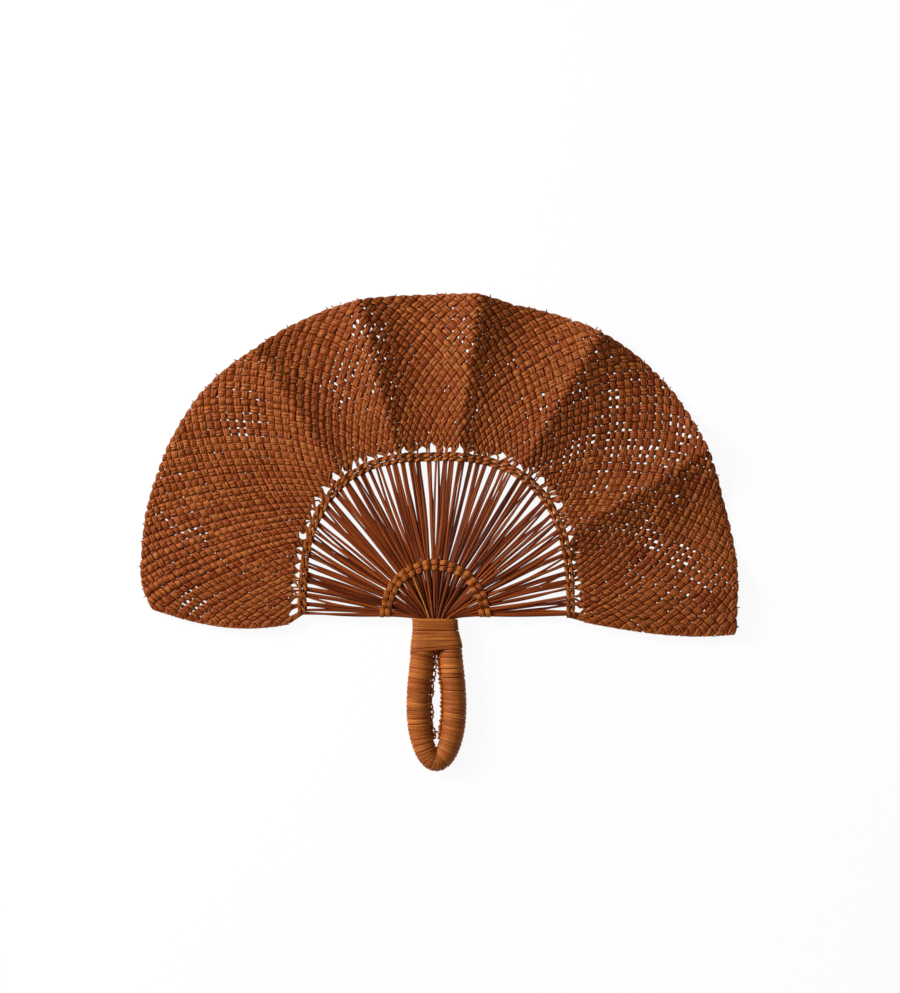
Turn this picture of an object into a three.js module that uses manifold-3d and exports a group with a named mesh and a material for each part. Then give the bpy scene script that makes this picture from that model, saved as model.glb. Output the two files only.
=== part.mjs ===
// Palm leaf fan, lying flat: X to the right, Y from the handle to the blade, Z up. Millimetres, degrees.
import * as THREE from "three";
import { mergeVertices } from "three/addons/utils/BufferGeometryUtils.js";
import Module from "manifold-3d";

const wasm = await Module();
wasm.setup();

// Driving dimensions. Heights in Y are measured from the focus, the point that the ribs aim at.
const CLEARANCE = 0.3;
const TABLE_CUT = 0.5;

// Handle loop: a straw core bent round, with its two legs side by side in the collar.
const CORE_WIDTH = 13.8;
const CORE_DEPTH = 13;
const COLLAR_TOP_DROP = 2.7;
const COLLAR_LENGTH = 19.3;
const LEG_LENGTH = 64.2;
const BELLY_GAP = 8.2;
const BELLY_SHARE = 0.6;
const BEND_GAP = 5.2;
const STRIP_THICKNESS = 0.9;
const STRIP_GAP = 0.5;
const LEG_TURNS = 14;
const BEND_TURNS = 11;
const COLLAR_TURNS = 7;
const COLLAR_SQUARENESS = 4;

// Ribs: bundles of straws that stand in the collar and spread over the half circle.
const BUNDLES = 19;
const STRAWS_PER_BUNDLE = 3;
const RIB_SEAT = 4;
const RIB_SPREAD = 180;
const STRAW_WIDTH = 2.6;
const STRAW_THICKNESS = 2;
const STRAW_TIP_SHARE = 0.65;
const STEM_THICKNESS = 1.9;
const STEM_FOOT_DEPTH = 7;
const STEM_FILL = 0.63;
const FOOT_FILL = 0.7;

// Twined rows: pairs of strands that swap front and back between ribs.
const INNER_TWINE_RADIUS = 33.5;
const INNER_ROW_SPACING = 4.8;
const INNER_STRAND_WIDTH = 1.8;
const OUTER_TWINE_HALF_WIDTH = 89.3;
const OUTER_TWINE_HEIGHT = 108.7;
const OUTER_ROW_SPACING = 3.8;
const OUTER_STRAND_WIDTH = 1.2;
const STRAND_THICKNESS = 1;

// Blade: a ruffled half-disc arch. Its rim and the twined arch are rounded boxes in outline.
const RIM_LEFT_REACH = 198;
const RIM_RIGHT_REACH = 201;
const RIM_HEIGHT = 213.5;
const ARCH_ROUNDNESS = 2.45;
const LACE_WIDTH = 8;
const SHEET_THICKNESS = 2.2;
const RIM_THICKNESS = 3;
const RIM_BAND = 4;
const FOLD_START_RADIUS = 66;
const LEFT_CORNER_ROUND = 8;
const LEFT_CORNER_ANGLE = 172;

// Droop of the two lower edges, from the twined arch to the rim, as four Bezier control heights.
const LEFT_DROOP = [2, 12, 8, -7];
const RIGHT_DROOP = [3, 10, 15, 11];
const EDGE_FADE = 12;

// Folds from left to right: crest angle, crest height and depth of the trough that follows, as shares of
// the depth that lets a trough lie on the table, and how far the fold draws the rim in at its crest.
const FOLDS = [
  { angle: 190, crest: 0.2, trough: -0.1, drawn: 0 },
  { angle: 167.5, crest: 0.4, trough: -0.4, drawn: 0 },
  { angle: 147.5, crest: 0.6, trough: -0.55, drawn: 1.5 },
  { angle: 124.4, crest: 0.95, trough: -1, drawn: 6.5 },
  { angle: 104, crest: 1.3, trough: -1, drawn: 0.7 },
  { angle: 82.5, crest: 1.35, trough: -1, drawn: 0 },
  { angle: 60, crest: 1.35, trough: -1, drawn: 4 },
  { angle: 31.3, crest: 1.3, trough: -1, drawn: 2.3 },
  { angle: 5, crest: 0.5, trough: 0.1, drawn: 2 },
  { angle: -12, crest: 0.3, trough: 0.3, drawn: 2 },
];

// Facet counts.
const CORE_SIDES = 12;
const CORE_STEPS = 32;
const WRAP_STEPS = 12;
const COLLAR_STEPS = 16;
const FOLD_COLUMNS = 7;
const BLADE_ROWS = 6;
const STEM_STEPS = 5;

// Colours of dyed palm straw.
const BLADE_COLOUR = "#82431f";
const RIB_COLOUR = "#733a20";
const TWINE_COLOUR = "#96562a";
const WRAP_COLOUR = "#8e4c24";
const CORE_COLOUR = "#7a4a28";

// Worked-out sizes.
const wrapReach = CLEARANCE + STRIP_THICKNESS;
const gripHalfWidth = CORE_WIDTH / 2 + wrapReach;
const gripHalfDepth = CORE_DEPTH / 2 + wrapReach;
const midHeight = gripHalfDepth - TABLE_CUT;
const foldDepth = midHeight + TABLE_CUT - RIM_THICKNESS / 2;
const collarTop = -COLLAR_TOP_DROP;
const collarBottom = collarTop - COLLAR_LENGTH;
const ribFoot = collarTop - RIB_SEAT;
const coreTop = ribFoot - CLEARANCE;
const bendTop = collarBottom - LEG_LENGTH;
const bellyHeight = collarBottom - LEG_LENGTH * BELLY_SHARE;
const topOffset = CORE_WIDTH / 2 + CLEARANCE / 2;
const collarOffset = gripHalfWidth + CLEARANCE / 2;
const bellyOffset = gripHalfWidth + BELLY_GAP / 2;
const bendRadius = gripHalfWidth + BEND_GAP / 2;
const strawCount = BUNDLES * STRAWS_PER_BUNDLE;

// Small helpers.
const up = new THREE.Vector3(0, 0, 1);
const radians = THREE.MathUtils.degToRad;
const lerp = THREE.MathUtils.lerp;
const clamp = THREE.MathUtils.clamp;

function polar(angle, radius, height) {
  return new THREE.Vector3(radius * Math.cos(radians(angle)), radius * Math.sin(radians(angle)), height);
}

function rounded(angle, halfWidth, halfHeight, power) {
  const across = Math.abs(Math.cos(angle)) ** (2 / power) * Math.sign(Math.cos(angle));
  const along = Math.abs(Math.sin(angle)) ** (2 / power) * Math.sign(Math.sin(angle));
  return [halfWidth * across, halfHeight * along];
}

function bezier(controls, share) {
  const rest = 1 - share;
  const ends = controls[0] * rest ** 3 + controls[3] * share ** 3;
  return ends + 3 * rest * share * (controls[1] * rest + controls[2] * share);
}

function signedVolume(positions, index) {
  let sum = 0;
  const a = new THREE.Vector3();
  const b = new THREE.Vector3();
  const c = new THREE.Vector3();
  for (let i = 0; i < index.length; i += 3) {
    a.fromArray(positions, index[i] * 3);
    b.fromArray(positions, index[i + 1] * 3);
    c.fromArray(positions, index[i + 2] * 3);
    sum += a.dot(b.cross(c));
  }
  return sum;
}

// Triangles that close a ring: a fan for a rounded ring, or row by row for a thin strip.
function fanCap(sides) {
  const index = [];
  for (let side = 1; side + 1 < sides; side += 1) {
    index.push(0, side, side + 1);
  }
  return index;
}

function stripCap(sides) {
  const index = [];
  for (let row = 0; row + 1 < sides / 2; row += 1) {
    const across = sides - 1 - row;
    index.push(row, row + 1, across - 1, row, across - 1, across);
  }
  return index;
}

// A closed solid through rings of points, with flat ends.
function loft(rings, cap = fanCap) {
  const sides = rings[0].length;
  const positions = rings.flat().flatMap((point) => point.toArray());
  const index = [];
  for (let ring = 0; ring + 1 < rings.length; ring += 1) {
    for (let side = 0; side < sides; side += 1) {
      const next = (side + 1) % sides;
      const a = ring * sides + side;
      const b = ring * sides + next;
      index.push(a, b, b + sides, a, b + sides, a + sides);
    }
  }
  const last = (rings.length - 1) * sides;
  const capIndex = cap(sides);
  index.push(...capIndex.toReversed(), ...capIndex.map((corner) => corner + last));
  if (signedVolume(positions, index) < 0) {
    index.reverse();
  }
  const geometry = new THREE.BufferGeometry();
  geometry.setAttribute("position", new THREE.Float32BufferAttribute(positions, 3));
  geometry.setIndex(index);
  return geometry;
}

// Booleans.
function solidOf(geometry) {
  const plain = geometry.clone();
  plain.deleteAttribute("normal");
  plain.deleteAttribute("uv");
  const merged = mergeVertices(plain, 1e-4);
  const mesh = new wasm.Mesh({
    numProp: 3,
    vertProperties: new Float32Array(merged.attributes.position.array),
    triVerts: new Uint32Array(merged.index.array),
  });
  mesh.merge();
  return new wasm.Manifold(mesh);
}

function geometryOf(solid) {
  const mesh = solid.getMesh();
  const geometry = new THREE.BufferGeometry();
  geometry.setAttribute("position", new THREE.Float32BufferAttribute(mesh.vertProperties, 3));
  geometry.setIndex(Array.from(mesh.triVerts));
  return geometry;
}

function cutAtTable(geometry) {
  const table = new THREE.BoxGeometry(2000, 2000, 20).translate(0, 0, -10);
  return geometryOf(solidOf(geometry).subtract(solidOf(table)));
}

function addPiece(group, name, geometry, colour, roughness) {
  const shaded = geometry.index ? geometry.toNonIndexed() : geometry;
  shaded.computeVertexNormals();
  const material = new THREE.MeshStandardMaterial({ color: colour, roughness, metalness: 0 });
  const mesh = new THREE.Mesh(shaded, material);
  mesh.name = name;
  group.add(mesh);
}

// The two crests that an angle lies between, and how far it is from the left one to the right one.
function betweenCrests(angle) {
  let left = 0;
  while (left + 2 < FOLDS.length && FOLDS[left + 1].angle > angle) {
    left += 1;
  }
  const from = FOLDS[left];
  const to = FOLDS[left + 1];
  return { from, to, share: clamp((from.angle - angle) / (from.angle - to.angle), 0, 1) };
}

// Height of the fan's middle surface: flat near the handle, with folds that deepen towards the rim.
function foldShare(angle) {
  const { from, to, share } = betweenCrests(angle);
  const sag = (from.crest + to.crest) / 2 - from.trough;
  return lerp(from.crest, to.crest, share) - sag * 4 * share * (1 - share);
}

function archRadius(angle, halfWidth, height) {
  const across = Math.abs(Math.cos(radians(angle))) / halfWidth;
  const along = Math.abs(Math.sin(radians(angle))) / height;
  return (across ** ARCH_ROUNDNESS + along ** ARCH_ROUNDNESS) ** (-1 / ARCH_ROUNDNESS);
}

function twineRadius(angle) {
  return archRadius(angle, OUTER_TWINE_HALF_WIDTH, OUTER_TWINE_HEIGHT);
}

function rimRadius(angle) {
  const turned = clamp((angle - LEFT_CORNER_ANGLE) / (180 - LEFT_CORNER_ANGLE), 0, 1);
  const reach = angle > 90 ? RIM_LEFT_REACH : RIM_RIGHT_REACH;
  const { from, to, share } = betweenCrests(angle);
  const drawn = lerp(from.drawn, to.drawn, share) + LEFT_CORNER_ROUND * turned ** 2;
  return archRadius(angle, reach, RIM_HEIGHT) - drawn;
}

function surfaceHeight(angle, radius) {
  const reach = (radius - FOLD_START_RADIUS) / (rimRadius(angle) - FOLD_START_RADIUS);
  return midHeight + foldDepth * foldShare(angle) * clamp(reach, 0, 1);
}

function onSurface(angle, radius) {
  return polar(angle, radius, surfaceHeight(angle, radius));
}

// Handle loop: its centre line from the right collar end, round the bend, to the left one.
const legSlope = (bellyOffset - collarOffset) / (collarBottom - bellyHeight);
const collarEase = (coreTop - collarBottom) * 0.4;
const bellyEase = (collarBottom - bellyHeight) * 0.4;
const bendEase = (bellyHeight - bendTop) * 0.4;
const legCurves = [
  [[topOffset, coreTop - collarEase], [collarOffset - legSlope * collarEase, collarBottom + collarEase]],
  [[collarOffset + legSlope * bellyEase, collarBottom - bellyEase], [bellyOffset, bellyHeight + bellyEase]],
  [[bellyOffset, bellyHeight - bendEase], [bendRadius, bendTop + bendEase]],
];
const legEnds = [
  [topOffset, coreTop],
  [collarOffset, collarBottom],
  [bellyOffset, bellyHeight],
  [bendRadius, bendTop],
];
const handleLine = new THREE.Path().moveTo(...legEnds[0]);
legCurves.forEach(([first, second], leg) => {
  handleLine.bezierCurveTo(...first, ...second, ...legEnds[leg + 1]);
});
handleLine.absarc(0, bendTop, bendRadius, 0, Math.PI, true);
legCurves.toReversed().forEach(([first, second], leg) => {
  const [endX, endY] = legEnds[legCurves.length - 1 - leg];
  handleLine.bezierCurveTo(-second[0], second[1], -first[0], first[1], -endX, endY);
});
const handleLength = handleLine.getLength();

function handleFrame(distance) {
  const share = clamp(distance / handleLength, 0, 1);
  const spot = handleLine.getPoint(share);
  const heading = handleLine.getTangent(share);
  const tangent = new THREE.Vector3(heading.x, heading.y, 0);
  const inward = new THREE.Vector3().crossVectors(tangent, up);
  return { centre: new THREE.Vector3(spot.x, spot.y, midHeight), tangent, inward };
}

// Distance along the handle line at which it passes a given height on its right leg.
function distanceAtHeight(height) {
  let low = 0;
  let high = handleLength / 2;
  for (let step = 0; step < 40; step += 1) {
    const middle = (low + high) / 2;
    if (handleFrame(middle).centre.y > height) {
      low = middle;
    } else {
      high = middle;
    }
  }
  return low;
}

function handleCore() {
  const rings = [];
  for (let step = 0; step <= CORE_STEPS; step += 1) {
    const { centre, inward } = handleFrame((handleLength * step) / CORE_STEPS);
    const ring = [];
    for (let side = 0; side < CORE_SIDES; side += 1) {
      const turn = (2 * Math.PI * (side + 0.5)) / CORE_SIDES;
      const [x, z] = rounded(turn, CORE_WIDTH / 2, CORE_DEPTH / 2, 2);
      ring.push(centre.clone().addScaledVector(inward, x).addScaledVector(up, z));
    }
    rings.push(ring);
  }
  return loft(rings);
}

// A flat strip wound round a moving section. Each turn reaches halfway to its neighbours, less a gap,
// so that the strip narrows where turns crowd together.
function winding(name, turns, steps, place) {
  const rings = [];
  const total = turns * steps;
  const margin = 1 / turns / 2;
  const half = margin * (1 - 1 / turns);
  const corner = (spot, side, face) =>
    spot.point
      .clone()
      .addScaledVector(spot.along, (side * STRIP_GAP) / 2)
      .addScaledVector(spot.outward, (face * STRIP_THICKNESS) / 2);
  for (let step = 0; step <= total; step += 1) {
    const share = lerp(margin, 1 - margin, step / total);
    const angle = (2 * Math.PI * (step + 0.5)) / steps;
    const back = place(share - half, angle);
    const front = place(share + half, angle);
    rings.push([corner(back, 1, -1), corner(front, -1, -1), corner(front, -1, 1), corner(back, 1, 1)]);
  }
  let gap = Infinity;
  for (let first = 0; first < rings.length; first += 1) {
    for (let second = first + steps - 2; second < rings.length; second += 1) {
      for (const a of rings[first]) {
        for (const b of rings[second]) {
          gap = Math.min(gap, a.distanceTo(b));
        }
      }
    }
  }
  console.log(`${name}: ${turns} turns, least gap to itself ${gap.toFixed(2)} mm`);
  return loft(rings);
}

function handleWrap(name, from, to, turns) {
  const reach = (CORE_WIDTH / 2 + CLEARANCE + STRIP_THICKNESS / 2) / Math.cos(Math.PI / WRAP_STEPS);
  const depth = (CORE_DEPTH / 2 + CLEARANCE + STRIP_THICKNESS / 2) / Math.cos(Math.PI / WRAP_STEPS);
  return winding(name, turns, WRAP_STEPS, (share, angle) => {
    const { centre, tangent, inward } = handleFrame(lerp(from, to, share));
    const point = centre
      .clone()
      .addScaledVector(inward, reach * Math.cos(angle))
      .addScaledVector(up, depth * Math.sin(angle));
    const outward = inward
      .clone()
      .multiplyScalar(Math.cos(angle) / reach)
      .addScaledVector(up, Math.sin(angle) / depth)
      .normalize();
    return { point, outward, along: tangent };
  });
}

function collarWrap() {
  const depth = CORE_DEPTH / 2 + CLEARANCE + STRIP_THICKNESS / 2;
  const grow = 1 / Math.cos(Math.PI / COLLAR_STEPS);
  return winding("collar_wrap", COLLAR_TURNS, COLLAR_STEPS, (share, angle) => {
    const y = lerp(collarTop, collarBottom, share);
    const core = handleFrame(distanceAtHeight(Math.min(y, coreTop))).centre.x;
    const width = core + CORE_WIDTH / 2 + CLEARANCE + STRIP_THICKNESS / 2;
    const [x, z] = rounded(angle, width * grow, depth * grow, COLLAR_SQUARENESS);
    const slopeX = (Math.sign(x) * Math.abs(x / width) ** (COLLAR_SQUARENESS - 1)) / width;
    const slopeZ = (Math.sign(z) * Math.abs(z / depth) ** (COLLAR_SQUARENESS - 1)) / depth;
    const outward = new THREE.Vector3(slopeX, 0, slopeZ).normalize();
    return { point: new THREE.Vector3(x, y, midHeight + z), outward, along: new THREE.Vector3(0, -1, 0) };
  });
}

// Ribs: a stem where the straws lie pressed together, then the straws that part from it.
const bundleStep = RIB_SPREAD / BUNDLES;
const strawStep = RIB_SPREAD / strawCount;
const firstAngle = 90 + RIB_SPREAD / 2;
const bundleAngle = (bundle) => firstAngle - (bundle + 0.5) * bundleStep;
const strawAngle = (straw) => firstAngle - (straw + 0.5) * strawStep;
const footPitch = (2 * topOffset + CORE_WIDTH - 2 * CLEARANCE) / BUNDLES;
const stemEnd = INNER_TWINE_RADIUS + INNER_ROW_SPACING / 2 + INNER_STRAND_WIDTH * 2;

function stemHalfWidth(radius) {
  return Math.max((footPitch * FOOT_FILL) / 2, (radius * radians(bundleStep) * STEM_FILL) / 2);
}

function ribStem(bundle) {
  const angle = bundleAngle(bundle);
  const footX = (bundle - (BUNDLES - 1) / 2) * footPitch;
  const upright = Math.abs(angle - 90) < 0.01;
  const lean = upright ? footPitch / radians(bundleStep) : footX * Math.tan(radians(angle));
  const end = polar(angle, stemEnd, midHeight);
  const corner = new THREE.Vector3(footX, lean, midHeight);
  const foot = new THREE.Vector3(footX, ribFoot, midHeight);
  const path = new THREE.CubicBezierCurve3(foot, corner, corner.clone().lerp(end, 0.2), end);
  const rings = [];
  for (let step = 0; step <= STEM_STEPS; step += 1) {
    const share = step / STEM_STEPS;
    const centre = path.getPoint(share);
    const across = new THREE.Vector3().crossVectors(path.getTangent(share), up);
    const half = stemHalfWidth(Math.hypot(centre.x, Math.max(centre.y, 0)));
    const deep = lerp(STEM_FOOT_DEPTH, STEM_THICKNESS, Math.sqrt(share)) / 2;
    const corners = [[1, 0], [0.55, 1], [-0.55, 1], [-1, 0], [-0.55, -1], [0.55, -1]];
    rings.push(
      corners.map(([x, z]) => centre.clone().addScaledVector(across, x * half).addScaledVector(up, z * deep)),
    );
  }
  return loft(rings);
}

function ribStraw(bundle, straw) {
  const stem = bundleAngle(bundle);
  const angle = strawAngle(bundle * STRAWS_PER_BUNDLE + straw);
  const side = straw - (STRAWS_PER_BUNDLE - 1) / 2;
  const startRadius = INNER_TWINE_RADIUS + INNER_ROW_SPACING / 2 + INNER_STRAND_WIDTH;
  const startPitch = (stemHalfWidth(startRadius) * 2 * 0.8) / STRAWS_PER_BUNDLE;
  const along = polar(stem, 1, 0);
  const across = new THREE.Vector3().crossVectors(along, up);
  const start = polar(stem, startRadius, 0).addScaledVector(across, side * startPitch);
  const atTwine = polar(angle, twineRadius(angle), 0);
  const tip = polar(angle, twineRadius(angle) + LACE_WIDTH - CLEARANCE * 2, 0);
  const line = [
    { at: start, width: startPitch, thickness: STEM_THICKNESS * 0.8 },
    { at: start.clone().lerp(atTwine, 0.5), width: STRAW_WIDTH, thickness: STRAW_THICKNESS },
    { at: atTwine, width: STRAW_WIDTH, thickness: STRAW_THICKNESS },
    { at: tip, width: STRAW_WIDTH * STRAW_TIP_SHARE, thickness: STRAW_THICKNESS * STRAW_TIP_SHARE },
  ];
  const rings = line.map(({ at, width, thickness }, place) => {
    const before = line[Math.max(place - 1, 0)].at;
    const after = line[Math.min(place + 1, line.length - 1)].at;
    const sideways = new THREE.Vector3().subVectors(after, before).normalize().cross(up);
    const height = surfaceHeight(THREE.MathUtils.radToDeg(Math.atan2(at.y, at.x)), Math.hypot(at.x, at.y));
    const centre = new THREE.Vector3(at.x, at.y, height);
    return [[1, 0], [0, 1], [-1, 0], [0, -1]].map(([x, z]) =>
      centre.clone().addScaledVector(sideways, (x * width) / 2).addScaledVector(up, (z * thickness) / 2),
    );
  });
  return loft(rings);
}

function ribBundle(bundle) {
  let solid = solidOf(ribStem(bundle));
  for (let straw = 0; straw < STRAWS_PER_BUNDLE; straw += 1) {
    solid = solid.add(solidOf(ribStraw(bundle, straw)));
  }
  return geometryOf(solid);
}

// One strand of a twined row. It lies over one rib and under the next, and passes its partner between ribs.
function twineStrand({ angles, radius, ribWidth, ribThickness, width, flat, first }) {
  const rise = ribThickness / 2 + STRAND_THICKNESS + CLEARANCE;
  const swing = width / 2 + CLEARANCE;
  const step = angles[0] - angles[1];
  const line = [];
  angles.forEach((angle, rib) => {
    const front = (rib + first) % 2 === 0 ? 1 : -1;
    const ribHalf = THREE.MathUtils.radToDeg((ribWidth(radius(angle)) / 2 / radius(angle)) * flat);
    if (flat > 0) {
      line.push({ angle: angle + ribHalf, out: (-front * swing) / 2, lift: front * rise });
      line.push({ angle: angle - ribHalf, out: (front * swing) / 2, lift: front * rise });
    } else {
      line.push({ angle, out: 0, lift: front * rise });
    }
    line.push({ angle: angle - step / 2, out: front * swing, lift: 0 });
  });
  const points = line.map(({ angle, out, lift }) => {
    const base = radius(angle) + out;
    return polar(angle, base, surfaceHeight(angle, base) + lift);
  });
  const rings = points.map((point, place) => {
    const before = points[Math.max(place - 1, 0)];
    const after = points[Math.min(place + 1, points.length - 1)];
    const forward = new THREE.Vector3().subVectors(after, before).normalize();
    const outward = polar(line[place].angle, 1, 0);
    const normal = new THREE.Vector3().crossVectors(outward, forward).normalize();
    const sideways = new THREE.Vector3().crossVectors(forward, normal);
    return [[1, 1], [-1, 1], [-1, -1], [1, -1]].map(([x, z]) =>
      point
        .clone()
        .addScaledVector(sideways, (x * width) / 2)
        .addScaledVector(normal, (z * STRAND_THICKNESS) / 2),
    );
  });
  return loft(rings);
}

function innerStrand(row, first) {
  return twineStrand({
    angles: Array.from({ length: BUNDLES }, (_, bundle) => bundleAngle(bundle)),
    radius: () => INNER_TWINE_RADIUS + (row - 0.5) * INNER_ROW_SPACING,
    ribWidth: (radius) => stemHalfWidth(radius) * 2,
    ribThickness: STEM_THICKNESS,
    width: INNER_STRAND_WIDTH,
    flat: 0.8,
    first,
  });
}

function outerStrand(row, first) {
  return twineStrand({
    angles: Array.from({ length: strawCount }, (_, straw) => strawAngle(straw)),
    radius: (angle) => twineRadius(angle) + (row - 0.5) * OUTER_ROW_SPACING,
    ribWidth: () => STRAW_WIDTH,
    ribThickness: STRAW_THICKNESS,
    width: OUTER_STRAND_WIDTH,
    flat: 0,
    first,
  });
}

// Blade: a grid over the ruffled arch, offset to both sides along its normal. One column on each crest.
function bladeAngle(share, reach) {
  const inner = OUTER_TWINE_HALF_WIDTH + LACE_WIDTH;
  const leftRadius = inner * (RIM_LEFT_REACH / inner) ** reach;
  const rightRadius = inner * (RIM_RIGHT_REACH / inner) ** reach;
  const left = THREE.MathUtils.radToDeg(Math.asin(bezier(LEFT_DROOP, reach) / leftRadius));
  const right = THREE.MathUtils.radToDeg(Math.asin(bezier(RIGHT_DROOP, reach) / rightRadius));
  return lerp(180, 0, share) + left * (1 - share) ** EDGE_FADE - right * share ** EDGE_FADE;
}

function bladePoint(share, reach) {
  const angle = bladeAngle(share, reach);
  const inner = twineRadius(angle) + LACE_WIDTH;
  return onSurface(angle, inner * (rimRadius(angle) / inner) ** reach);
}

function bladeColumns() {
  const crests = FOLDS.map((fold) => fold.angle).filter((angle) => angle < 180 && angle > 0);
  const marks = [180, ...crests, 0];
  const shares = [];
  for (let mark = 0; mark + 1 < marks.length; mark += 1) {
    for (let column = 0; column < FOLD_COLUMNS; column += 1) {
      shares.push(1 - lerp(marks[mark], marks[mark + 1], column / FOLD_COLUMNS) / 180);
    }
  }
  return [...shares, 1];
}

function wovenBlade() {
  const columns = bladeColumns();
  const bandShare = RIM_BAND / (RIM_HEIGHT - OUTER_TWINE_HEIGHT - LACE_WIDTH);
  const rows = Array.from({ length: BLADE_ROWS }, (_, row) => (row * (1 - bandShare)) / (BLADE_ROWS - 1));
  rows.push(1 - bandShare / 2, 1);
  const nudge = 1e-3;
  const sheet = rows.map((reach, row) =>
    columns.map((share) => {
      const point = bladePoint(share, reach);
      const leftward = bladePoint(Math.max(share - nudge, 0), reach);
      const rightward = bladePoint(Math.min(share + nudge, 1), reach);
      const inward = bladePoint(share, Math.max(reach - nudge, 0));
      const outward = bladePoint(share, Math.min(reach + nudge, 1));
      const normal = rightward.sub(leftward).cross(outward.sub(inward)).normalize();
      const thickness = row === BLADE_ROWS ? RIM_THICKNESS : SHEET_THICKNESS;
      return {
        top: point.clone().addScaledVector(normal, thickness / 2),
        bottom: point.clone().addScaledVector(normal, -thickness / 2),
      };
    }),
  );
  const rings = columns.map((_, column) => [
    ...sheet.map((line) => line[column].top),
    ...sheet.map((line) => line[column].bottom).reverse(),
  ]);
  return cutAtTable(loft(rings, stripCap));
}

// Assembly.
const pieces = new THREE.Group();
const wrapStart = distanceAtHeight(collarBottom - STRIP_GAP);
const wrapTurnover = distanceAtHeight(bendTop + LEG_LENGTH * 0.12);
const wrapEnd = handleLength - wrapStart;

addPiece(pieces, "handle_core", handleCore(), CORE_COLOUR, 0.8);
addPiece(
  pieces,
  "right_grip_wrap",
  cutAtTable(handleWrap("right_grip_wrap", wrapStart, wrapTurnover, LEG_TURNS)),
  WRAP_COLOUR,
  0.5,
);
addPiece(
  pieces,
  "bend_wrap",
  cutAtTable(handleWrap("bend_wrap", wrapTurnover, handleLength - wrapTurnover, BEND_TURNS)),
  WRAP_COLOUR,
  0.5,
);
addPiece(
  pieces,
  "left_grip_wrap",
  cutAtTable(handleWrap("left_grip_wrap", handleLength - wrapTurnover, wrapEnd, LEG_TURNS)),
  WRAP_COLOUR,
  0.5,
);
addPiece(pieces, "collar_wrap", cutAtTable(collarWrap()), WRAP_COLOUR, 0.5);
for (let bundle = 0; bundle < BUNDLES; bundle += 1) {
  addPiece(pieces, `rib_bundle_${String(bundle + 1).padStart(2, "0")}`, ribBundle(bundle), RIB_COLOUR, 0.6);
}
const rowNames = ["lower", "upper"];
const strandNames = ["a", "b"];
rowNames.forEach((rowName, row) => {
  strandNames.forEach((strandName, first) => {
    addPiece(pieces, `inner_twine_${rowName}_${strandName}`, innerStrand(row, first), TWINE_COLOUR, 0.6);
    addPiece(pieces, `outer_twine_${rowName}_${strandName}`, outerStrand(row, first), TWINE_COLOUR, 0.6);
  });
});
addPiece(pieces, "woven_blade", wovenBlade(), BLADE_COLOUR, 0.65);

// The part's origin is the middle of its outline, on the table.
const box = new THREE.Box3().setFromObject(pieces);
pieces.position.set(-(box.min.x + box.max.x) / 2, -(box.min.y + box.max.y) / 2, -box.min.z);

const fan = new THREE.Group();
fan.name = "palm_leaf_fan";
fan.add(pieces);

export default fan;
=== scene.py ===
# %% [markdown]
# # A plaited palm leaf fan
# The real fan is made of one thing only: dyed palm straw. Straws stand in a wrapped loop handle, spread out
# as ribs, are tied by twined rows, and are then plaited into a ruffled blade whose rim folds back on itself.
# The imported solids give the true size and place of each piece. This lesson keeps that frame and builds the
# straws themselves around it, in metres, with the table at height zero.

# %% Load the solids as a fixed frame
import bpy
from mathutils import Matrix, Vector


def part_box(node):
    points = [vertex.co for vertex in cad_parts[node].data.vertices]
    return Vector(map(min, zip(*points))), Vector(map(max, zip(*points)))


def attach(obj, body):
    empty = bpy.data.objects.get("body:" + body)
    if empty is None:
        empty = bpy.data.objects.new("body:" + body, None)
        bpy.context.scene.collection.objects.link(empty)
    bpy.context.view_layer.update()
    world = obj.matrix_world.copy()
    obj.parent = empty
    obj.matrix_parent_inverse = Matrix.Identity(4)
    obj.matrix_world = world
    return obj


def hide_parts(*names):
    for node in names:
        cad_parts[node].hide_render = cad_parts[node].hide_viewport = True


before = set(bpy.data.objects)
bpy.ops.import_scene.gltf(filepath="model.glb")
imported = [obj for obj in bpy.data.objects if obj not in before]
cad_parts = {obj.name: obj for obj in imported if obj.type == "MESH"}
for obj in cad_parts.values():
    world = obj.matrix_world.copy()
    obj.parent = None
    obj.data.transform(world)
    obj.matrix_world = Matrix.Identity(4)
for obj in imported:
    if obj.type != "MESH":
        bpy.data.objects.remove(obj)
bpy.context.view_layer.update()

from types import SimpleNamespace

import bpy
import numpy as np

# %% [markdown]
# ## Where the fan sits
# All the ribs aim at one point a little above the collar, the focus. The handle core of the solids is
# symmetric about it and ends a known drop below it, so the focus comes from that node's box. Every later
# piece is laid out from the focus, as a maker would lay it out from the knot in the handle.

# %% The focus of the ribs
CORE_TOP_DROP = 0.0070
core_low, core_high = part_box("handle_core")
FOCUS = np.array([(core_low.x + core_high.x) / 2, core_high.y + CORE_TOP_DROP, 0.0])
UP = np.array([0.0, 0.0, 1.0])
print("focus of the ribs", FOCUS)

# %% [markdown]
# ## Camera
# The photograph looks straight down through a long lens, so straight lines stay straight and the blade
# shows no perspective. One pixel is two thirds of a millimetre. The focus of the ribs falls on a known
# pixel, and that alone places the camera. Its sensor spans the long side of the picture, the height.

# %% Camera straight above
PICTURE_WIDTH = 900
PICTURE_HEIGHT = 993
METRES_PER_PIXEL = 0.002 / 3
FOCUS_PIXEL = (436.5, 614.0)
CAMERA_HEIGHT = 2.4

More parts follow.
